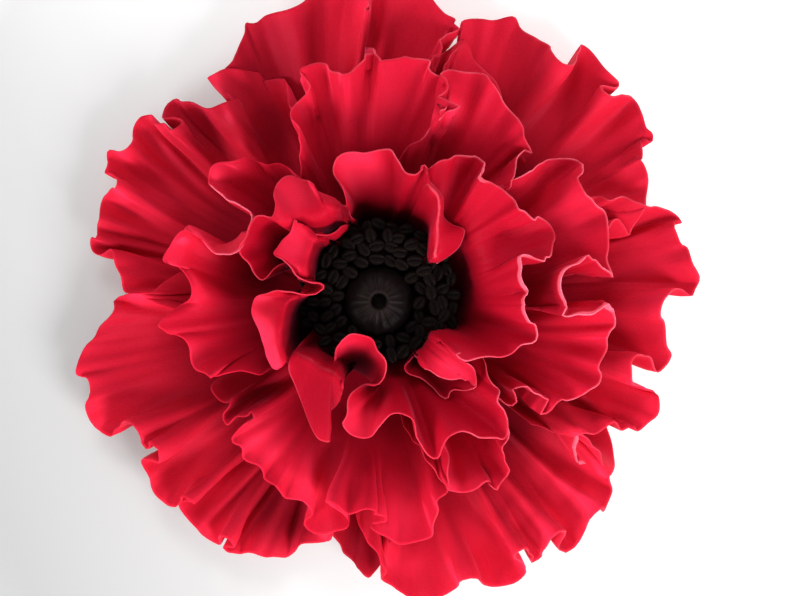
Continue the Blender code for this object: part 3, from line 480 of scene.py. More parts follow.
# %% [markdown]
# ## Waves
#
# Small waves die out a few millimetres in from the edge and big ones go deeper. So the edge's wave is kept
# at several degrees of blur, and each place of the sheet reads the one for its own depth. The tables give
# the large folds. The fine ones follow seeded chance, at the sizes that thin petals show.

# %% Waves
STEP = 0.8
ROWS = 52
WIDENING = 0.30
WAVE_REACH = 24.0
BLURS = np.array([0.0, 0.7, 1.4, 2.4, 4.0, 6.5, 10.0])
FRILLS = [(3.0, 0.22), (6.5, 0.55), (14.0, 0.75)]
FINE_PLEATS = (2.8, 0.20)
OUTER_HAND, UPPER_HAND = 1.7, 1.35


def sunk(wave, to_edge):
    """A wave of the edge carried down the sheet. The finer its turns, the sooner they fade."""
    stack = np.array([soften(wave, width, STEP) for width in BLURS])
    index = np.interp(np.clip(to_edge * WIDENING, 0, BLURS[-1]), BLURS, np.arange(len(BLURS)))
    low = np.clip(np.floor(index).astype(int), 0, len(BLURS) - 2)
    part = (index - low)[:, :, None]
    column = np.broadcast_to(np.arange(len(wave)), to_edge.shape)
    blurred = stack[low, column] * (1 - part) + stack[low + 1, column] * part
    return blurred * np.exp(-(to_edge / WAVE_REACH) ** 2)[:, :, None]


def loose_wave(length, spacing, seed):
    """A smooth chance wave along an edge, between -1 and 1, with a turn about every `spacing` millimetres."""
    draw = np.random.default_rng(seed)
    places = np.cumsum(spacing * draw.uniform(0.6, 1.4, int(length / spacing * 1.8) + 6)) - 2 * spacing
    signs = np.where(np.arange(len(places)) % 2 == 0, 1.0, -1.0)
    sizes = signs * draw.uniform(0.35, 1.0, len(places))
    spot = np.arange(0, length + STEP, STEP)
    k = np.clip(np.searchsorted(places, spot) - 1, 0, len(places) - 2)
    share = np.clip((spot - places[k]) / (places[k + 1] - places[k]), 0, 1)
    share = (1 - np.cos(np.pi * share)) / 2
    return sizes[k] * (1 - share) + sizes[k + 1] * share


def flutes(spot, to_edge, seed, size):
    """Chance pleats: each starts somewhere near the edge, and widens and fades as it runs in."""
    draw = np.random.default_rng(seed)
    length = spot[-1]
    height = np.zeros(to_edge.shape)
    for _ in range(int(length / 3.6)):
        place, width = draw.uniform(0, length), draw.uniform(1.1, 2.8)
        start, reach = draw.uniform(-3, 7), draw.uniform(4, 15)
        tall = size * draw.choice([-1.0, 1.0]) * draw.uniform(0.25, 1.0) * width / 1.6
        wide = width * (1 + to_edge / 16.0)
        height += tall * np.exp(-0.5 * ((spot[None] - place) / wide) ** 2) * np.exp(-((to_edge - start) / reach) ** 2)
    return height


def chance_waves(facts, to_edge):
    """How far the small waves push each place of a petal along its own normal."""
    count = to_edge.shape[1]
    length = count * STEP
    seed = 7 * len(facts["edge"])
    hand = facts["frill"] * (OUTER_HAND if facts["rise"] is OUTER_RISE else UPPER_HAND)
    spacing, size = FINE_PLEATS
    pleats = loose_wave(length, spacing, seed + 5)[:count] * size * hand
    chance = sum(loose_wave(length, spacing, 31 * n + seed)[:count] * size for n, (spacing, size) in enumerate(FRILLS))
    shift = sunk(chance[:, None] * hand, to_edge)[:, :, 0] + pleats[None] * np.exp(-(to_edge / 13.0) ** 1.6)
    return shift + flutes(np.arange(count) * STEP, to_edge, seed, 0.55 * hand)


print("an edge of 100 mm has", len(loose_wave(100, FRILLS[0][0], 1)), "places for its waves")

# %% [markdown]
# ## The sheet of one petal
#
# Each line of the sheet starts at the claw, fans out, passes a crest three fifths of the way or where the
# table puts it, and ends at a calm version of the edge. The edge's own wave is then carried down the sheet.
# Where the table gives no height, the edge takes the ring's rise plus a share of how far it falls short of
# its calm line.

# %% Edge and crest
CREST_AT = 0.62
CREST_SOFT = 1.2
CREST_FADE = 0.035


def at_mark(marks, place):
    """The share of the edge's length at a point of its table, or between two of them."""
    return float(np.interp(place, np.arange(len(marks)), marks))


def stretch(spot, marks, start, end, ease):
    """One along the edge between two points of its table, nought elsewhere, with soft ends."""
    length = spot[-1]
    return (np.tanh((spot - at_mark(marks, start) * length) / ease)
            - np.tanh((spot - at_mark(marks, end) * length) / ease)) / 2


def edge_points(facts):
    """The edge's points as places, with a height for those that have none."""
    rows = facts["edge"]
    bearings = np.array([p[0] for p in rows], float)
    reach = np.array([p[1] for p in rows], float)
    weights = np.exp(-0.5 * ((bearings[:, None] - bearings[None, :]) / 9.0) ** 2)
    calm = (weights * reach).sum(1) / weights.sum(1)
    height = height_on(facts["rise"], reach) + np.clip((calm - reach) * 1.5, -3, 7) * facts["ruffle"]
    for n, p in enumerate(rows):
        if len(p) > 2:
            height[n] = p[2]
    return seen_place(bearings, reach, height)


def crest_line(facts, marks, base):
    """Where each line of the sheet passes on its way: three fifths out, or over the petal's crest."""
    if not facts["crest"]:
        return base, np.zeros(len(base))
    where = np.array([at_mark(marks, c[0]) for c in facts["crest"]])
    spots = np.array([seen_place(c[1], np.float64(c[2]), c[3]) for c in facts["crest"]])
    share = np.linspace(0, 1, len(base))
    over = np.stack([np.interp(share, where, spots[:, k]) for k in range(3)], axis=1)
    over = soften(over, CREST_SOFT, STEP)
    hold = (np.clip((share - where[0] + CREST_FADE) / CREST_FADE, 0, 1)
            * np.clip((where[-1] + CREST_FADE - share) / CREST_FADE, 0, 1))
    hold = hold * hold * (3 - 2 * hold)
    return base * (1 - hold[:, None]) + over * hold[:, None], hold


def beside_crest(crest, other, hold, aside, fall):
    """Places just to one side of a crest, so that the sheet turns over it in a tight bend."""
    way = (other - crest) * np.array([1.0, 1.0, 0.0])
    way /= np.linalg.norm(way, axis=1, keepdims=True) + 1e-6
    tight = crest + way * aside - np.array([0.0, 0.0, fall])
    return crest + (other - crest) * 0.12 * (1 - hold)[:, None] + (tight - crest) * hold[:, None]


def crest_gap(sheet, crest):
    """How far inside the crest each place is, measured down its line of the sheet."""
    run = run_down(sheet)
    columns = np.arange(sheet.shape[1])
    nearest = np.clip(np.linalg.norm(sheet - crest[None], axis=2).argmin(axis=0), 1, len(sheet) - 2)
    way = sheet[nearest + 1, columns] - sheet[nearest - 1, columns]
    way /= np.linalg.norm(way, axis=1, keepdims=True) + 1e-9
    place = run[nearest, columns] + ((crest - sheet[nearest, columns]) * way).sum(1)
    return soften(place[:, None], 1.5, STEP)[:, 0] - run


def face_normals(sheet):
    """The way each place faces, turned upwards for the sheet as a whole."""
    normal = np.cross(np.gradient(sheet, axis=1), np.gradient(sheet, axis=0))
    normal /= np.linalg.norm(normal, axis=2, keepdims=True) + 1e-9
    return normal * np.where(normal[:, :, 2:] < 0, -1.0, 1.0) if normal[:, :, 2].mean() > 0 else -normal


print(sum(bool(p["crest"]) for p in PETALS.values()), "petals roll over a crest")

# %% [markdown]
# The foot of a petal is a narrow arc on the flower base. The outer petals have the widest feet, because they
# are the broadest, and the lines fan out most just past the claw.

# %% Sheets
FOOT_KNOTS = (0.0, 0.22, 0.46, 0.72)
OUTER_FOOT, UPPER_FOOT = (0.95, 80.0), (0.55, 40.0)
VERY_CALM = 14.0
FAR_FROM_CREST = 9.0
FOLD_HEIGHT = 1.35


def around(line):
    """Each place's bearing about the flower's axis in radians, without jumps, and its distance from it."""
    return np.unwrap(np.arctan2(line[:, 1], line[:, 0])), np.hypot(line[:, 0], line[:, 1])


def main_shape(facts, edge, marks):
    """The petal without its waves: the sheet, its calm edge, its crest, and how firmly the crest holds it."""
    calm_edge = soften(edge, facts["calm"], STEP)
    bearing, wide_out = around(soften(edge, VERY_CALM, STEP))
    middle = (bearing[0] + bearing[-1]) / 2
    narrow, widest = OUTER_FOOT if facts["rise"] is OUTER_RISE else UPPER_FOOT
    spread = np.radians(min(widest, abs(np.degrees(bearing[-1] - bearing[0])) * narrow))
    turn = np.sign(bearing[-1] - bearing[0])
    share = np.linspace(-0.5, 0.5, len(edge))
    foot_bearing = middle + turn * spread * share
    even_bearing = middle + (bearing[-1] - bearing[0]) * share
    crest_bearing = 0.5 * even_bearing + 0.5 * bearing
    crest_out = CLAW_REACH + CREST_AT * (wide_out - CLAW_REACH)
    plain = np.stack([crest_out * np.cos(crest_bearing), crest_out * np.sin(crest_bearing),
                      height_on(facts["rise"], crest_out)], axis=1)
    crest, hold = crest_line(facts, marks, plain)
    crest_bearing, crest_out = around(crest)
    crest_bearing += 2 * np.pi * np.round((foot_bearing - crest_bearing) / (2 * np.pi))
    knots = []
    for f in FOOT_KNOTS:
        r = CLAW_REACH + (crest_out - CLAW_REACH) * f
        fan = 1 - (1 - f) ** 2.2
        b = foot_bearing + (crest_bearing - foot_bearing) * fan
        z = height_on(facts["rise"], r) + (crest[:, 2] - height_on(facts["rise"], crest_out)) * f**3
        knots.append(np.stack([r * np.cos(b), r * np.sin(b), z], axis=1))
    if facts["sharp"]:
        into, fall, past, sink = facts["sharp"]
        knots += [beside_crest(crest, knots[-1], hold, into, fall), crest,
                  beside_crest(crest, calm_edge, hold, past, sink), calm_edge]
    else:
        knots += [crest, calm_edge]
    return down_lines(np.array(knots)), calm_edge, crest, hold


def sheet_of(facts):
    """A petal's sheet as rows of places from claw to edge, in millimetres from the flower axis.

    With it come, for each place, its distance to the edge, its distance from a crest with a pale painted highlight,
    how far it is inside a sharp crest, for the painted shade of a curled wall, and the width of the pale band at
    the edge beside it.
    """
    edge, marks = curve_through(edge_points(facts), STEP)
    sheet, calm_edge, crest, hold = main_shape(facts, edge, marks)
    drop = np.linalg.norm(np.diff(sheet, axis=0), axis=2)
    to_edge = np.vstack([np.cumsum(drop[::-1], axis=0)[::-1], np.zeros((1, len(edge)))])
    sheet = sheet + sunk(edge - calm_edge, to_edge)
    normal = face_normals(sheet)
    sheet = sheet + normal * chance_waves(facts, to_edge)[:, :, None]
    length = len(edge) * STEP
    spot = np.linspace(0, 1, len(edge)) * length
    gap = crest_gap(sheet, crest)
    # A crest flagged for it gets a pale line along it, a painted highlight.
    line = np.where(hold[None] > 0.9, gap, FAR_FROM_CREST) if facts["crest_highlight"] else np.full(to_edge.shape, FAR_FROM_CREST)
    # How far inside a sharp crest, for the painted shade of the curled wall.
    inside = np.clip(gap, 0, 20) * hold[None] if facts["sharp"] else np.zeros(to_edge.shape)
    for start, end, drop, depth in facts["rolls"]:
        sheet[:, :, 2] -= drop * stretch(spot, marks, start, end, 2.5)[None] * np.exp(-(to_edge / depth) ** 2)
    # Wider pale rims where the table asks for them: pale edge and painted highlight together.
    band = np.zeros(to_edge.shape)
    for start, end, wide in facts["rims"]:
        band = np.maximum(band, wide * stretch(spot, marks, start, end, 1.2)[None])
    for place, size, width, depth in facts["folds"]:
        hump = np.exp(-0.5 * ((spot - at_mark(marks, place) * length) / width) ** 2)
        shift = FOLD_HEIGHT * size * hump[None] * np.exp(-(to_edge / depth) ** 2)
        sheet = sheet + normal * shift[:, :, None]
    return sheet, to_edge, line, inside, band


sheets = {name: sheet_of(facts) for name, facts in PETALS.items()}
print({name: sheet[0].shape[:2] for name, sheet in sheets.items()})

# %% [markdown]
# ## Laying the petals over one another
#
# In the real bloom each petal rests on the ones that grew before it. Here each sheet is dropped in from the
# lowest to the highest. A ray straight down from each of its places finds the petals beneath, and the
# sheet is lifted smoothly wherever it would come closer to them than a petal's thickness.

# %% Settling
THICK = 0.6
ROOM = 0.95
UNDER = 6.0
DOWN = Vector((0, 0, -1))
SPREAD_TURNS, SMOOTH_TURNS = 22, 3


def tree_of(sheet):
    """The sheet as a surface that rays can hit."""
    rows, columns = sheet.shape[:2]
    first = (np.arange(rows - 1)[:, None] * columns + np.arange(columns - 1)[None, :]).ravel()
    squares = np.stack([first, first + 1, first + 1 + columns, first + columns], axis=1)
    return BVHTree.FromPolygons([Vector(p) for p in sheet.reshape(-1, 3)], squares.tolist())


def blur_grid(grid):
    padded = np.pad(grid, 1, mode="edge")
    return (padded[1:-1, :-2] + padded[1:-1, 2:] + padded[:-2, 1:-1] + padded[2:, 1:-1] + 2 * grid) / 6


def settle(sheet, below):
    """The sheet lifted clear of those below it, and the most that it was lifted."""
    need = np.zeros(sheet.shape[:2])
    for j in range(sheet.shape[0]):
        for i in range(sheet.shape[1]):
            x, y, z = sheet[j, i]
            for tree, low, high in below:
                if low[0] < x < high[0] and low[1] < y < high[1]:
                    spot, normal, _face, _far = tree.ray_cast(Vector((x, y, z + UNDER)), DOWN)
                    if spot is not None:
                        need[j, i] = max(need[j, i], spot.z + ROOM / max(abs(normal.z), 0.5) - z)
    lift = need.copy()
    for _ in range(SPREAD_TURNS):
        lift = np.maximum(need, blur_grid(lift))
    for _ in range(SMOOTH_TURNS):
        lift = blur_grid(lift)
    settled = sheet.copy()
    settled[:, :, 2] += lift
    return settled, float(lift.max())


below = []
settled = {}
for name, (sheet, *gauges) in sheets.items():
    laid, most = settle(sheet, below)
    settled[name] = (laid, *gauges)
    flat = laid.reshape(-1, 3)
    below.append((tree_of(laid), flat.min(0), flat.max(0)))
    print(f"{name}: lifted at most {most:.1f} mm, top {flat[:, 2].max():.1f} mm")

# %% [markdown]
# ## Tools for finishes
#
# Every finish is a small tree of nodes. The same few are needed each time: clouds of noise, a change of
# range, a ramp of colours, a mix of two colours, and a bump. Each gets a short function here, so that a
# finish reads as a list of what it is made of.

# %% Material helpers
def new_finish(name):
    finish = bpy.data.materials.new(name)
    finish.use_nodes = True
    tree = finish.node_tree
    return finish, tree, tree.nodes["Principled BSDF"]


def set_inputs(node, values):
    """Fixed numbers and colours, typed straight into a node's own sockets."""
    for name, value in values.items():
        node.inputs[name].default_value = value


def add_node(tree, kind, inputs=None, links=None, **options):
    """A node with its options, its fixed inputs, and the sockets that feed it."""
    node = tree.nodes.new(kind)
    for key, value in options.items():
        setattr(node, key, value)
    set_inputs(node, inputs or {})
    for name, source in (links or {}).items():
        tree.links.new(source, node.inputs[name])
    return node


def kept(tree, name):
    """A number that each vertex of the mesh keeps."""
    return add_node(tree, "ShaderNodeAttribute", attribute_name=name).outputs["Fac"]


def noise(tree, source, scale, detail, roughness=0.5):
    return add_node(tree, "ShaderNodeTexNoise", {"Scale": scale, "Detail": detail, "Roughness": roughness},
                    {"Vector": source}).outputs["Fac"]


def ranged(tree, source, low, high, start=0.0, end=1.0):
    """The range from low to high turned into the range from start to end, and held beyond its ends."""
    return add_node(tree, "ShaderNodeMapRange", {"From Min": low, "From Max": high, "To Min": start, "To Max": end},
                    {"Value": source}).outputs["Result"]


def sum_of(tree, operation, *sources):
    return add_node(tree, "ShaderNodeMath", links=dict(enumerate(sources)), operation=operation).outputs["Value"]


def reach_along(tree, source, way):
    """How far each place lies along a direction."""
    return add_node(tree, "ShaderNodeVectorMath", {1: way}, {0: source}, operation="DOT_PRODUCT").outputs["Value"]


def length_of(tree, source):
    return add_node(tree, "ShaderNodeVectorMath", links={0: source}, operation="LENGTH").outputs["Value"]


def ramp(tree, source, stops):
    """A number turned into a colour: each stop is a place and a colour, or one number for a grey."""
    node = add_node(tree, "ShaderNodeValToRGB", links={"Fac": source})
    while len(node.color_ramp.elements) < len(stops):
        node.color_ramp.elements.new(0.5)
    for element, (place, colour) in zip(node.color_ramp.elements, stops):
        element.position = place
        element.color = (*colour, 1.0) if isinstance(colour, tuple) else (colour, colour, colour, 1.0)
    return node.outputs["Color"]


def mixed(tree, share, first, second, blend="MIX"):
    """Two colours mixed by a share; each may be a socket or a fixed value."""
    node = add_node(tree, "ShaderNodeMix", data_type="RGBA", blend_type=blend)
    for socket, value in zip([s for s in node.inputs if s.enabled], (share, first, second)):
        if isinstance(value, bpy.types.NodeSocket):
            tree.links.new(value, socket)
        else:
            socket.default_value = (*value, 1.0) if socket.type == "RGBA" else value
    return [s for s in node.outputs if s.enabled][0]


def times(tree, first, second):
    """One colour darkened by another."""
    return mixed(tree, 1.0, first, second, "MULTIPLY")


def bump(tree, height, strength, distance, over=None):
    links = {"Height": height} if over is None else {"Height": height, "Normal": over}
    return add_node(tree, "ShaderNodeBump", {"Strength": strength, "Distance": distance}, links).outputs["Normal"]


print("helpers for finishes are ready")

# %% [markdown]
# ## The petals' finish
#
# The petals are matte and soft, crimson on the face and almost black at the claw. Fine veins fan out to the
# edge, and the cut edge is a paler pink with a rough grain, paler still on the bright side of the bloom as a
# painted highlight. The veins read the petal's own map, which runs along the edge and out from the claw. The
# rest reads numbers kept on the mesh: how near the edge or a crest with a pale painted highlight is, how dark
# the black claw and the painted shade of the cup make the place, how much painted shade darkens it away from
# the edge, and how pale or pink it is, the pink being a painted highlight. The three rings wear lighter and
# darker copies of one red, as painted light and shade. Sheen and a little light let through the surface give
# the soft look of thin tissue.

# %% Petal finish
# EDGE_PINK is the paler cut edge, made paler still on the bright side of the bloom as a painted highlight.
EDGE_PINK = (0.90, 0.140, 0.210)
# HIGHLIGHT_PINK is a painted pink highlight on slopes that face the lamps.
HIGHLIGHT_PINK = (0.85, 0.022, 0.068)
# The outer ring's red is lighter and the inner ring's darker: copies of one red, as painted light on the open outer
# petals and painted shade in the cup.
RING_REDS_SHADED = {"outer": ((0.68, 0.0125, 0.0390), (0.60, 0.0095, 0.0320)),
              "middle": ((0.60, 0.0082, 0.0310), (0.54, 0.0062, 0.0260)),
              "inner": ((0.47, 0.0034, 0.0185), (0.41, 0.0026, 0.0155))}
PETAL_RED, PETAL_DEEP = RING_REDS_SHADED["middle"]
FACE_GRAIN, EDGE_GRAIN = 2600.0, 3600.0
VEIN_SCALE = (62.0, 2.2, 1.0)


def pale_rim_and_highlight(tree):
    """A pale line near the cut edge and along a marked crest, fading to nought within half a millimetre: partly the
    pale edge, partly painted highlight.
    """
    crest = sum_of(tree, "ABSOLUTE", kept(tree, "fold_line"))
    closest = sum_of(tree, "MINIMUM", kept(tree, "brink"), crest)
    return sum_of(tree, "MULTIPLY", ranged(tree, closest, 0.15, 0.45, 0.45, 0.0), kept(tree, "pale_edge_and_highlight"))


def petal_finish(name, face, deep, edge=False):
    """The soft red of a petal's face, or, for its cut edge, a paler and rougher one."""
    finish, tree, shader = new_finish(name)
    place = add_node(tree, "ShaderNodeTexCoord")
    map_of_veins = add_node(tree, "ShaderNodeMapping", {"Scale": VEIN_SCALE}, {"Vector": place.outputs["UV"]})
    veins = noise(tree, map_of_veins.outputs["Vector"], 1.0, 4.0, 0.6)
    grain = noise(tree, place.outputs["Object"], EDGE_GRAIN if edge else FACE_GRAIN, 2.0)
    tone = mixed(tree, noise(tree, place.outputs["Object"], 38.0, 3.0), face, deep)
    tone = times(tree, tone, ramp(tree, veins, [(0.3, (0.96, 0.94, 0.94)), (0.62, 1)]))
    tone = times(tree, tone, ramp(tree, grain, [(0.36, (0.90, 0.86, 0.86)), (0.60, 1)]))
    # Painted highlight: pink where slopes face the lamps and in the pink dabs.
    tone = mixed(tree, kept(tree, "painted_highlight"), tone, HIGHLIGHT_PINK)
    if edge:
        fleck = ramp(tree, grain, [(0.35, 0), (0.65, 1)])
        tone = mixed(tree, fleck, tone, tuple(min(1.0, c * 1.35) for c in face))
        # The cut edge is pale where its paleness is high and deep red elsewhere, so its pale side is a painted
        # highlight.
        tone = mixed(tree, kept(tree, "pale_edge_and_highlight"), PETAL_DEEP, tone)
    else:
        # A pale line along the edge and the crest, partly painted highlight.
        tone = mixed(tree, pale_rim_and_highlight(tree), tone, EDGE_PINK)
    # Painted shade: darker the farther a place lies from the edge.
    tone = times(tree, tone, ramp(tree, kept(tree, "painted_depth_shade"), [
        (0.0, 1), (0.10, (0.97, 0.93, 0.93)), (0.30, (0.92, 0.85, 0.85)), (0.60, (0.80, 0.70, 0.70)),
        (1.0, (0.50, 0.42, 0.42))]))
    # The black claw, and painted shade near the heart, in gaps and in dabs.
    tone = times(tree, tone, ramp(tree, kept(tree, "heart"), [
        (0.0, 1), (0.35, (0.62, 0.6, 0.6)), (0.65, 0.32), (0.88, 0.10), (1.0, (0.012, 0.06, 0.035))]))
    tree.links.new(tone, shader.inputs["Base Color"])
    set_inputs(shader, {
        "Roughness": 0.52, "Specular IOR Level": 0.11, "Specular Tint": (1.0, 0.28, 0.55, 1.0),
        "Sheen Weight": 0.10, "Sheen Roughness": 0.35, "Sheen Tint": (1.0, 0.20, 0.42, 1.0),
        "Subsurface Weight": 0.12, "Subsurface Scale": 0.0016, "Subsurface Radius": (1.0, 0.12, 0.14)})
    ridges = bump(tree, veins, 0.14, 0.0005)
    tree.links.new(bump(tree, grain, 0.8 if edge else 0.40, 0.00014, ridges), shader.inputs["Normal"])
    return finish


# One face finish per ring, each a lighter or darker copy of the same red, as painted light and shade.
ring_shaded_faces = {ring: petal_finish(ring + "_petal_face_ring_shaded", *reds) for ring, reds in RING_REDS_SHADED.items()}
petal_edge = petal_finish("petal_cut_edge", EDGE_PINK, PETAL_RED, edge=True)
print(len(ring_shaded_faces), "petal faces and one cut edge made")

# %% [markdown]
# ## Where a petal is dark, pale or pink
#
# Deep in a bloom the petals shade one another, and their tissue is darker near the claw. Here the black claw
# is the petal's own colour, and the shade of the cup, of the gaps under the ring above and of curled walls is
# painted shade. Slopes near the edge that face the lamps at the lower left carry a painted pink highlight.
# These changes could be left to the lamps alone, but under soft light the gaps then look too bright. So each
# petal keeps a few numbers per vertex: how dark it is by its place in the cup, soft round dabs of painted
# shade and of painted highlight where its table asks for them, and how pale its rim is, the pale cut edge
# with a painted highlight towards the bright side. They stay on the petal from whichever side it is seen.

# %% Shades of a petal
CLAW_DARK = (6.0, 14.0)
# Painted shade where a petal runs in under the ring above: from where to where, and how dark at most.
NEAR_HEART_SHADE = {"outer": (40, 58, 0.26), "middle": (26, 44, 0.36)}
# The way the lamps shine from, for the painted pink highlight.
LIGHT_WAY = np.array([-0.82, -0.57, 0.0])
# The bearing of the bright side, where the rim's painted highlight is strongest.
HIGHLIGHT_BEARING = 20


def ring_of(name):
    """Outer, middle or inner: the second word of a petal's name."""
    return name.split("_")[1]


def dabs(laid, spots):
    """Soft round dabs of colour: each spot has a bearing, a distance, a size and a strength."""
    share = np.zeros(laid.shape[:2])
    for bearing, out, size, most in spots:
        away = np.hypot(laid[:, :, 0] - out * math.cos(math.radians(bearing)),
                        laid[:, :, 1] - out * math.sin(math.radians(bearing)))
        share = np.maximum(share, most * (1 - eased(away, 0.25 * size, 1.25 * size)))
    return share


def heart_shade(name, laid, inside):
    """How dark each place is: the black claw, by height in the inner cup and by distance elsewhere, and painted shade
    deeper in the cup, near the ring above, inside a curled wall and in the dark dabs.
    """
    facts = PETALS[name]
    out = np.hypot(laid[:, :, 0], laid[:, :, 1])
    if ring_of(name) == "inner":
        # In the inner cup the black claw and painted shade, by height.
        share = 1 - eased(laid[:, :, 2], *facts["dark"])
    else:
        # Elsewhere the black claw by distance, and painted shade near the ring above.
        near, far, most = NEAR_HEART_SHADE[ring_of(name)]
        share = np.maximum(1 - eased(out, *CLAW_DARK), most * facts["gloom"] * (1 - eased(out, near, far)))
    # Painted shade inside a curled wall.
    wall = 0.42 * eased(inside, 0.2, 1.6) + 0.5 * eased(inside, 2, 10)
    share = np.maximum(share, wall * facts["gloom"])
    # Dark dabs of painted shade.
    return np.maximum(share, dabs(laid, facts["shade_dabs"]))


def painted_highlight_share(name, laid, to_edge, shade):
    """The painted pink highlight: where an outward slope near the edge faces the lamps, and in the pink dabs."""
    normal = face_normals(laid)
    outward = (normal[:, :, :2] * laid[:, :, :2]).sum(2) / np.hypot(laid[:, :, 0], laid[:, :, 1])
    flat = 0.0 if ring_of(name) == "inner" else 0.30
    slope = (normal @ LIGHT_WAY + flat * 0.6) * eased(outward + flat, 0.0, 0.35)
    lit_slopes = eased(slope, 0.34, 0.88) * np.exp(-(to_edge / 13.0) ** 2)
    return np.maximum(lit_slopes, dabs(laid, PETALS[name]["highlight_dabs"])) * (1 - shade)


def rim_pale_and_highlight(name, laid, band):
    """How pale the rim is: patchy, with a painted highlight that makes it stronger on the bright side of the bloom,
    and strongest in the table's bands.
    """
    columns = laid.shape[1]
    # Painted highlight: the rim is paler the more it faces the bright side.
    toward_highlight = np.cos(np.arctan2(laid[:, :, 1], laid[:, :, 0]) - math.radians(HIGHLIGHT_BEARING))
    patchy = 0.7 + 0.5 * loose_wave(columns * STEP, 9.0, columns)[:columns][None]
    least = 0.25 if ring_of(name) == "inner" else 0.0
    pale = np.clip(0.22 + 0.78 * toward_highlight, least, 1) * (0.4 if ring_of(name) == "outer" else 1.0)
    return np.maximum(pale * np.clip(patchy, 0.15, 1), np.minimum(1.9 * band, 1.7))


print("dabs on the petals:", sum(len(p["shade_dabs"]) + len(p["highlight_dabs"]) for p in PETALS.values()))

# %% [markdown]
# ## The petals
#
# Each petal starts as a flat grid. Its corners move to the settled sheet, and a Solidify modifier gives it
# its thickness, thinner towards the edge, and puts the pale finish on the rim: a pale cut edge, partly a
# painted highlight on the bright side.

# %% Petals
MAP_WIDTH = 0.01
EDGE_SHARE, THICKENING = 0.45, 2.5


def piece_of(shape, name, mesh_name=None):
    """An object made from a finished bmesh."""
    mesh = bpy.data.meshes.new(mesh_name or name)
    shape.to_mesh(mesh)
    shape.free()
    piece = bpy.data.objects.new(name, mesh)
    bpy.context.scene.collection.objects.link(piece)
    return piece


def finish_piece(piece, node):
    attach(piece, "root")
    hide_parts(node)


def store(mesh, name, values):
    """Keep one number on each vertex, for the finish to read."""
    mesh.attributes.new(name, "FLOAT", "POINT").data.foreach_set("value", values.ravel().astype(np.float32))


def grid_of(laid):
    """A flat grid whose corners are moved to the places of a sheet, with its map in step with its width."""
    rows, columns = laid.shape[:2]
    grid = bmesh.new()
    grid.loops.layers.uv.new("petal_map")
    bmesh.ops.create_grid(grid, x_segments=columns - 1, y_segments=rows - 1, size=1.0, calc_uvs=True)
    for vert in grid.verts:
        i = int(round((vert.co.x + 1) / 2 * (columns - 1)))
        j = int(round((vert.co.y + 1) / 2 * (rows - 1)))
        x, y, z = laid[j, i]
        vert.co = Vector(((x + AXIS[0]) * MM, (y + AXIS[1]) * MM, z * MM))
    petal_map = grid.loops.layers.uv.active
    for face in grid.faces:
        face.smooth = True
        for loop in face.loops:
            loop[petal_map].uv.x *= columns * STEP * MAP_WIDTH
    return grid


def petal_piece(name, laid, to_edge, line, inside, band):
    piece = piece_of(grid_of(laid), name.replace("petal", "ruffled_petal"), name + "_sheet")
    mesh = piece.data
    mesh.materials.append(ring_shaded_faces[ring_of(name)])
    mesh.materials.append(petal_edge)
    columns = laid.shape[1]
    aside = np.minimum(np.arange(columns), np.arange(columns)[::-1])[None] * STEP
    shade = heart_shade(name, laid, inside)
    store(mesh, "brink", np.minimum(np.maximum(to_edge - band, 0), aside))
    store(mesh, "fold_line", line)
    # Painted shade, growing away from the edge.
    store(mesh, "painted_depth_shade", np.clip(to_edge / 30.0, 0, 1))
    # How pale the rim is, with its painted highlight.
    store(mesh, "pale_edge_and_highlight", rim_pale_and_highlight(name, laid, band))
    # The black claw and painted shade.
    store(mesh, "heart", shade)
    # The painted pink highlight.
    store(mesh, "painted_highlight", painted_highlight_share(name, laid, to_edge, shade))
    full = piece.vertex_groups.new(name="full_thickness")
    for index, near in enumerate(np.minimum(to_edge, aside).ravel()):
        full.add([index], min(1.0, EDGE_SHARE + (1 - EDGE_SHARE) * near / THICKENING), "REPLACE")
    wall = piece.modifiers.new("thickness", "SOLIDIFY")
    wall.thickness = THICK * MM
    wall.offset = 0.0
    wall.vertex_group = "full_thickness"
    wall.use_rim = True
    wall.material_offset_rim = 1
    finish_piece(piece, name)
    return piece


petals = [petal_piece(name, *facts) for name, facts in settled.items()]
print(len(petals), "petals made")

# %% [markdown]
# ## Dark finishes
#
# The heart of the flower is nearly black, with a dull shine: a brown-black capsule with a paler ring where
# its rays leave the hole, and rougher anthers. The green base is as black as the threads where the stamens
# stand on it. One recipe, clouds of noise for both colour and bump, serves all three.

# %% Dark finishes
def dark_finish(name, colour, light, roughness, scale, strength, shine=0.1):
    finish, tree, shader = new_finish(name)
    clouds = noise(tree, add_node(tree, "ShaderNodeTexCoord").outputs["Object"], scale, 4.0)
    tree.links.new(mixed(tree, clouds, colour, light), shader.inputs["Base Color"])
    tree.links.new(bump(tree, clouds, strength, 0.0002), shader.inputs["Normal"])
    set_inputs(shader, {"Roughness": roughness, "Specular IOR Level": shine})
    return finish


def recolour(finish, share_of, colour):
    """Mix another colour over a finish, by a share worked out from the place on the flower."""
    tree = finish.node_tree
    socket = tree.nodes["Principled BSDF"].inputs["Base Color"]
    share = share_of(tree, add_node(tree, "ShaderNodeTexCoord").outputs["Object"])
    tree.links.new(mixed(tree, share, socket.links[0].from_socket, colour), socket)
    return finish


def round_the_hole(tree, place):
    from_axis = add_node(tree, "ShaderNodeMapping", {"Location": (-AXIS[0] * MM, -AXIS[1] * MM, 0),
                                                     "Scale": (1, 1, 0)}, {"Vector": place})
    return ranged(tree, length_of(tree, from_axis.outputs["Vector"]), 0.0030, 0.0058, 0.60, 0.0)


def above_the_petals(tree, place):
    height = add_node(tree, "ShaderNodeSeparateXYZ", links={"Vector": place}).outputs["Z"]
    return ranged(tree, height, 0.009, 0.014)


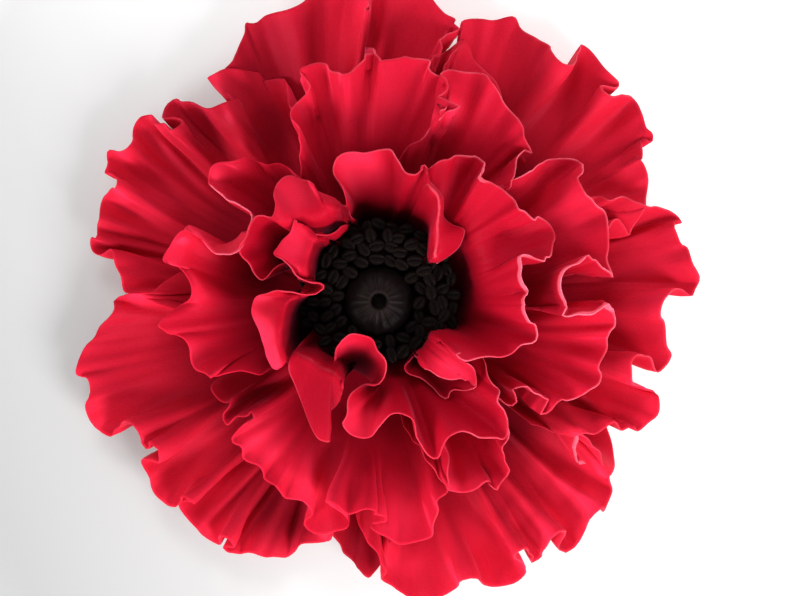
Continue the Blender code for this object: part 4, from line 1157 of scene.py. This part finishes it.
capsule_skin = recolour(
    dark_finish("capsule_skin", (0.0030, 0.0016, 0.0016), (0.0070, 0.0040, 0.0040), 0.40, 900.0, 0.4, 0.035),
    round_the_hole, (0.019, 0.013, 0.012))
anther_skin = dark_finish("anther_skin", (0.0032, 0.0020, 0.0018), (0.0078, 0.0048, 0.0042), 0.45, 1400.0, 0.5, 0.026)
base_skin = recolour(dark_finish("base_skin", (0.05, 0.09, 0.025), (0.10, 0.16, 0.045), 0.55, 500.0, 0.4),
                     above_the_petals, (0.003, 0.0015, 0.0015))
print("dark finishes:", capsule_skin.name, anther_skin.name, base_skin.name)

# %% [markdown]
# ## The seed capsule
#
# The capsule is a dark dome. Ribs run down from a small round hole with a raised lip. It is turned like a pot:
# a profile is spun round the axis, and the ribs are pressed into it afterwards.

# %% Capsule
CAPSULE_FOOT = capsule_low[2] / MM
CAPSULE_PROFILE = [(0.02, 0), (3.6, 0.02), (6.2, 0.7), (8.0, 2.4), (8.45, 4.0), (8.0, 5.6), (6.6, 7.0), (4.6, 8.0),
                   (3.1, 8.35), (2.7, 8.6), (2.35, 8.65), (2.0, 8.4), (1.85, 7.4), (1.7, 5.2), (0.02, 5.0)]
RIBS = 18
RIB_STEPS = 6
RIB_DEPTH, RIB_START, RIB_END = 0.36, 2.4, 6.6


def turned_piece(name, outline, foot, steps):
    """A closed body spun round the flower's axis from an outline of (distance out, height above its foot)."""
    pot = bmesh.new()
    last = None
    for out, height in outline:
        vert = pot.verts.new((AXIS[0] * MM + out * MM, AXIS[1] * MM, (foot + height) * MM))
        if last:
            pot.edges.new((last, vert))
        last = vert
    bmesh.ops.spin(pot, geom=pot.verts[:] + pot.edges[:], cent=(AXIS[0] * MM, AXIS[1] * MM, 0),
                   axis=(0, 0, 1), angle=2 * math.pi, steps=steps, use_merge=True)
    bmesh.ops.remove_doubles(pot, verts=pot.verts, dist=0.00003)
    bmesh.ops.recalc_face_normals(pot, faces=pot.faces)
    for face in pot.faces:
        face.smooth = True
    return piece_of(pot, name)


capsule = turned_piece("ribbed_seed_capsule", CAPSULE_PROFILE, CAPSULE_FOOT, RIBS * RIB_STEPS)
for vert in capsule.data.vertices:
    x, y = vert.co.x / MM - AXIS[0], vert.co.y / MM - AXIS[1]
    out = math.hypot(x, y)
    if out > RIB_START and vert.co.z / MM > CAPSULE_FOOT + 1:
        wave = abs(math.cos(RIBS / 2 * math.atan2(y, x))) ** 5
        depth = RIB_DEPTH * min(1.0, (out - RIB_START) / 0.7) * max(0.08, min(1.0, (RIB_END - out) / 3.0))
        vert.co.z -= (1 - wave) * depth * MM
capsule.data.materials.append(capsule_skin)
finish_piece(capsule, "seed_capsule")
print("capsule", len(capsule.data.vertices), "vertices")

# %% [markdown]
# ## The stamens
#
# A stamen is a thread with a bean-shaped anther on top, split by a groove. Over a hundred could crowd round
# the capsule in four loose rings, each turned its own way, but none stands where a petal curls in over them.
# One bean is shaped once for each place from a sphere, because a groove is all it needs.

# %% Anther and thread
STAMEN_RINGS = [(10.2, 19, 26.6), (12.9, 25, 27.6), (15.6, 30, 27.2), (18.0, 34, 25.6)]
THREAD_WIDTH = 0.00042
BEAN_LENGTH, BEAN_WIDTH, BEAN_DEPTH = 0.0039, 0.0029, 0.0024
BASE_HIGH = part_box("flower_base")[1]


def loose(k, ring):
    """A number between nought and one that looks like chance, and is the same each time."""
    value = math.sin(k * 12.9898 + ring * 78.233) * 43758.5453
    return value - math.floor(value)


def bean(shape, centre, along, beside, up, size):
    made = bmesh.ops.create_uvsphere(shape, u_segments=16, v_segments=8, radius=0.5)
    bmesh.ops.rotate(shape, verts=made["verts"], cent=(0, 0, 0), matrix=Matrix.Rotation(math.pi / 2, 3, "Y"))
    length, width = BEAN_LENGTH * size, BEAN_WIDTH * size
    for vert in made["verts"]:
        x, y, z = vert.co
        groove = math.exp(-(y / 0.10) ** 2) * max(0.0, z) * 1.1 * max(0.0, 1 - (abs(x) / 0.5) ** 4)
        vert.co = centre + along * (x * length) + beside * (y * width) + up * ((z - groove) * BEAN_DEPTH)
    for face in {f for v in made["verts"] for f in v.link_faces}:
        face.smooth = True


def thread(shape, foot, top, width):
    made = bmesh.ops.create_cone(shape, cap_ends=True, segments=6, radius1=width / 2, radius2=width / 2 * 0.8,
                                 depth=(top - foot).length)
    turn = (top - foot).to_track_quat("Z", "Y")
    for vert in made["verts"]:
        vert.co = turn @ vert.co + (foot + top) / 2


print("first chance numbers:", [round(loose(k, 0), 2) for k in range(4)])


# %% [markdown]
# The stamens are planted ring by ring. Each one's bearing, distance and height waver a little, and those that a
# petal presses on stand lower. They are gathered into twelve bundles of thirty degrees each, one to a piece.

# %% Stamens
def anther_places():
    """The bearing, distance, height and turn of each anther, and its ring."""
    places = []
    for ring, (out, count, height) in enumerate(STAMEN_RINGS):
        for k in range(count):
            bearing = 360.0 * (k + 0.5 * (ring % 2)) / count
            pressed = ring > 0 and 232 < bearing < 272
            if (ring > 1 and 232 < bearing < 311) or (ring > 2 and 198 < bearing < 236):
                continue
            places.append((bearing + 60.0 / out * (loose(k, ring + 5) - 0.5), out + 1.1 * (loose(k, ring) - 0.5),
                           height - 3.6 * pressed + 1.3 * (loose(k, ring + 9) - 0.6),
                           180.0 * loose(k, ring + 13), ring))
    return places


def stamen_bundle(number, places):
    shape = bmesh.new()
    axis = Vector((AXIS[0] * MM, AXIS[1] * MM, 0))
    for bearing, out, height, turn, ring in places:
        angle = math.radians(bearing)
        round_out = Vector((math.cos(angle), math.sin(angle), 0))
        top = axis + round_out * out * MM + Vector((0, 0, height * MM))
        foot = axis + round_out * (8.3 + 0.6 * ring) * MM + Vector((0, 0, BASE_HIGH[2] + 0.0004))
        thread(shape, foot, top, THREAD_WIDTH)
        a = math.radians(bearing + turn)
        lean = 0.25 * (loose(number + ring, 7) - 0.5)
        along_bean = Vector((math.cos(a), math.sin(a), lean)).normalized()
        beside = Vector((0, 0, 1)).cross(along_bean).normalized()
        size = 0.92 + 0.16 * loose(number * 3 + ring, 11)
        bean(shape, top, along_bean, beside, along_bean.cross(beside), size)
    piece = piece_of(shape, f"stamen_bundle_{number:02d}")
    piece.data.materials.append(anther_skin)
    finish_piece(piece, f"stamens_{number:02d}")


BUNDLES = 12
places = anther_places()
for number in range(1, BUNDLES + 1):
    stamen_bundle(number, [p for p in places if (number - 1) * 30 <= p[0] % 360 < number * 30])
print(len(places), "stamens")

# %% [markdown]
# ## The flower base
#
# Under the petals sits the green disc that they grow from. Its shape in the frame is right as it is, so it
# stays, and only gets its finish.

# %% Flower base
base_object = next(o for o in bpy.data.objects if o.name == "flower_base")
base_object.data.materials.clear()
base_object.data.materials.append(base_skin)
print("the base wears", base_object.data.materials[0].name)

# %% [markdown]
# ## The table
#
# The flower lies on a pale table. Daylight from a window falls off across it, so its tone drops towards one
# side near the flower and evens out further away. The tone is painted by place, so that the lamps can be set
# for the petals alone. The brighter side also glows a little, a painted light that washes out the shadows there.

# %% Table
TABLE_HALF = 3.0
TABLE_WAY = (0.92, 0.38, 0.0)
EVEN_FROM = 0.116
EVENING = 1.7

table_top = bmesh.new()
bmesh.ops.create_grid(table_top, x_segments=1, y_segments=1, size=TABLE_HALF)
table = piece_of(table_top, "pale_table")
table_skin, tree, shader = new_finish("table_skin")
place = add_node(tree, "ShaderNodeTexCoord").outputs["Object"]
evened = ranged(tree, length_of(tree, place), EVEN_FROM, EVEN_FROM + 1.0, 0.0, EVENING)
reach = ranged(tree, sum_of(tree, "ADD", reach_along(tree, place, TABLE_WAY), evened), -0.11, 0.09)
tree.links.new(ramp(tree, reach, [(0.0, (0.39, 0.395, 0.395)), (0.3, 0.55), (1.0, 0.74)]), shader.inputs["Base Color"])
# Painted light: the table glows on its bright side, which fades the flower's shadows there.
tree.links.new(ramp(tree, reach, [(0.2, 0), (0.75, 0.45)]), shader.inputs["Emission Color"])
set_inputs(shader, {"Roughness": 0.9, "Emission Strength": 1.0})
table.data.materials.append(table_skin)
print("table", 2 * TABLE_HALF, "m across")

# %% [markdown]
# ## The light
#
# Three large round lamps make soft light with faint shadows: two low ones in front, left and right, and a
# weak one behind. A pale room, brighter overhead than at the sides, fills the rest. More small lamps would
# give hard, crossing shadows.

# %% Light
LAMPS = [("window_light", (-1.15, -0.80, 0.72), 0.8, 21.0),
         ("side_light", (0.80, -0.95, 0.80), 0.7, 20.0),
         ("back_light", (-0.20, 0.90, 1.0), 0.5, 5.0)]
LAMP_AIM = Vector((0, 0, 0.02))

for name, stand, size, power in LAMPS:
    lamp = bpy.data.lights.new(name, "AREA")
    lamp.shape = "DISK"
    lamp.size = size
    lamp.energy = power
    item = bpy.data.objects.new(name, lamp)
    bpy.context.scene.collection.objects.link(item)
    item.location = stand
    item.rotation_euler = (LAMP_AIM - Vector(stand)).to_track_quat("-Z", "Y").to_euler()

world = bpy.data.worlds.new("pale_room")
world.use_nodes = True
tree = world.node_tree
backdrop = tree.nodes["Background"]
upward = reach_along(tree, add_node(tree, "ShaderNodeTexCoord").outputs["Generated"], (0.10, -0.16, -1.0))
tree.links.new(ranged(tree, upward, -0.62, 0.06, 0.48, 2.12), backdrop.inputs["Strength"])
backdrop.inputs["Color"].default_value = (1, 1, 1, 1)
bpy.context.scene.world = world
bpy.context.scene.view_settings.view_transform = "Standard"
print(len(LAMPS), "lamps and a pale room")

# %% [markdown]
# ## The eye
#
# The eye looks straight down from 65 cm, a little to one side of the flower's axis. Its lens is chosen so
# that the frame takes in a fixed width at the height where the bearings and distances are given.

# %% Eye
EYE_ASIDE = (4.32, 0.72)
FRAME_WIDTH = 190.56
SENSOR = 36.0

lens = bpy.data.cameras.new("eye")
lens.sensor_width = SENSOR
lens.lens = SENSOR * (EYE_HEIGHT - EYE_LEVEL) / FRAME_WIDTH
lens.clip_end = 20
eye = bpy.data.objects.new("eye", lens)
bpy.context.scene.collection.objects.link(eye)
eye.location = ((AXIS[0] + EYE_ASIDE[0]) * MM, (AXIS[1] + EYE_ASIDE[1]) * MM, EYE_HEIGHT * MM)
bpy.context.scene.camera = eye
print("lens", round(lens.lens, 1), "mm")
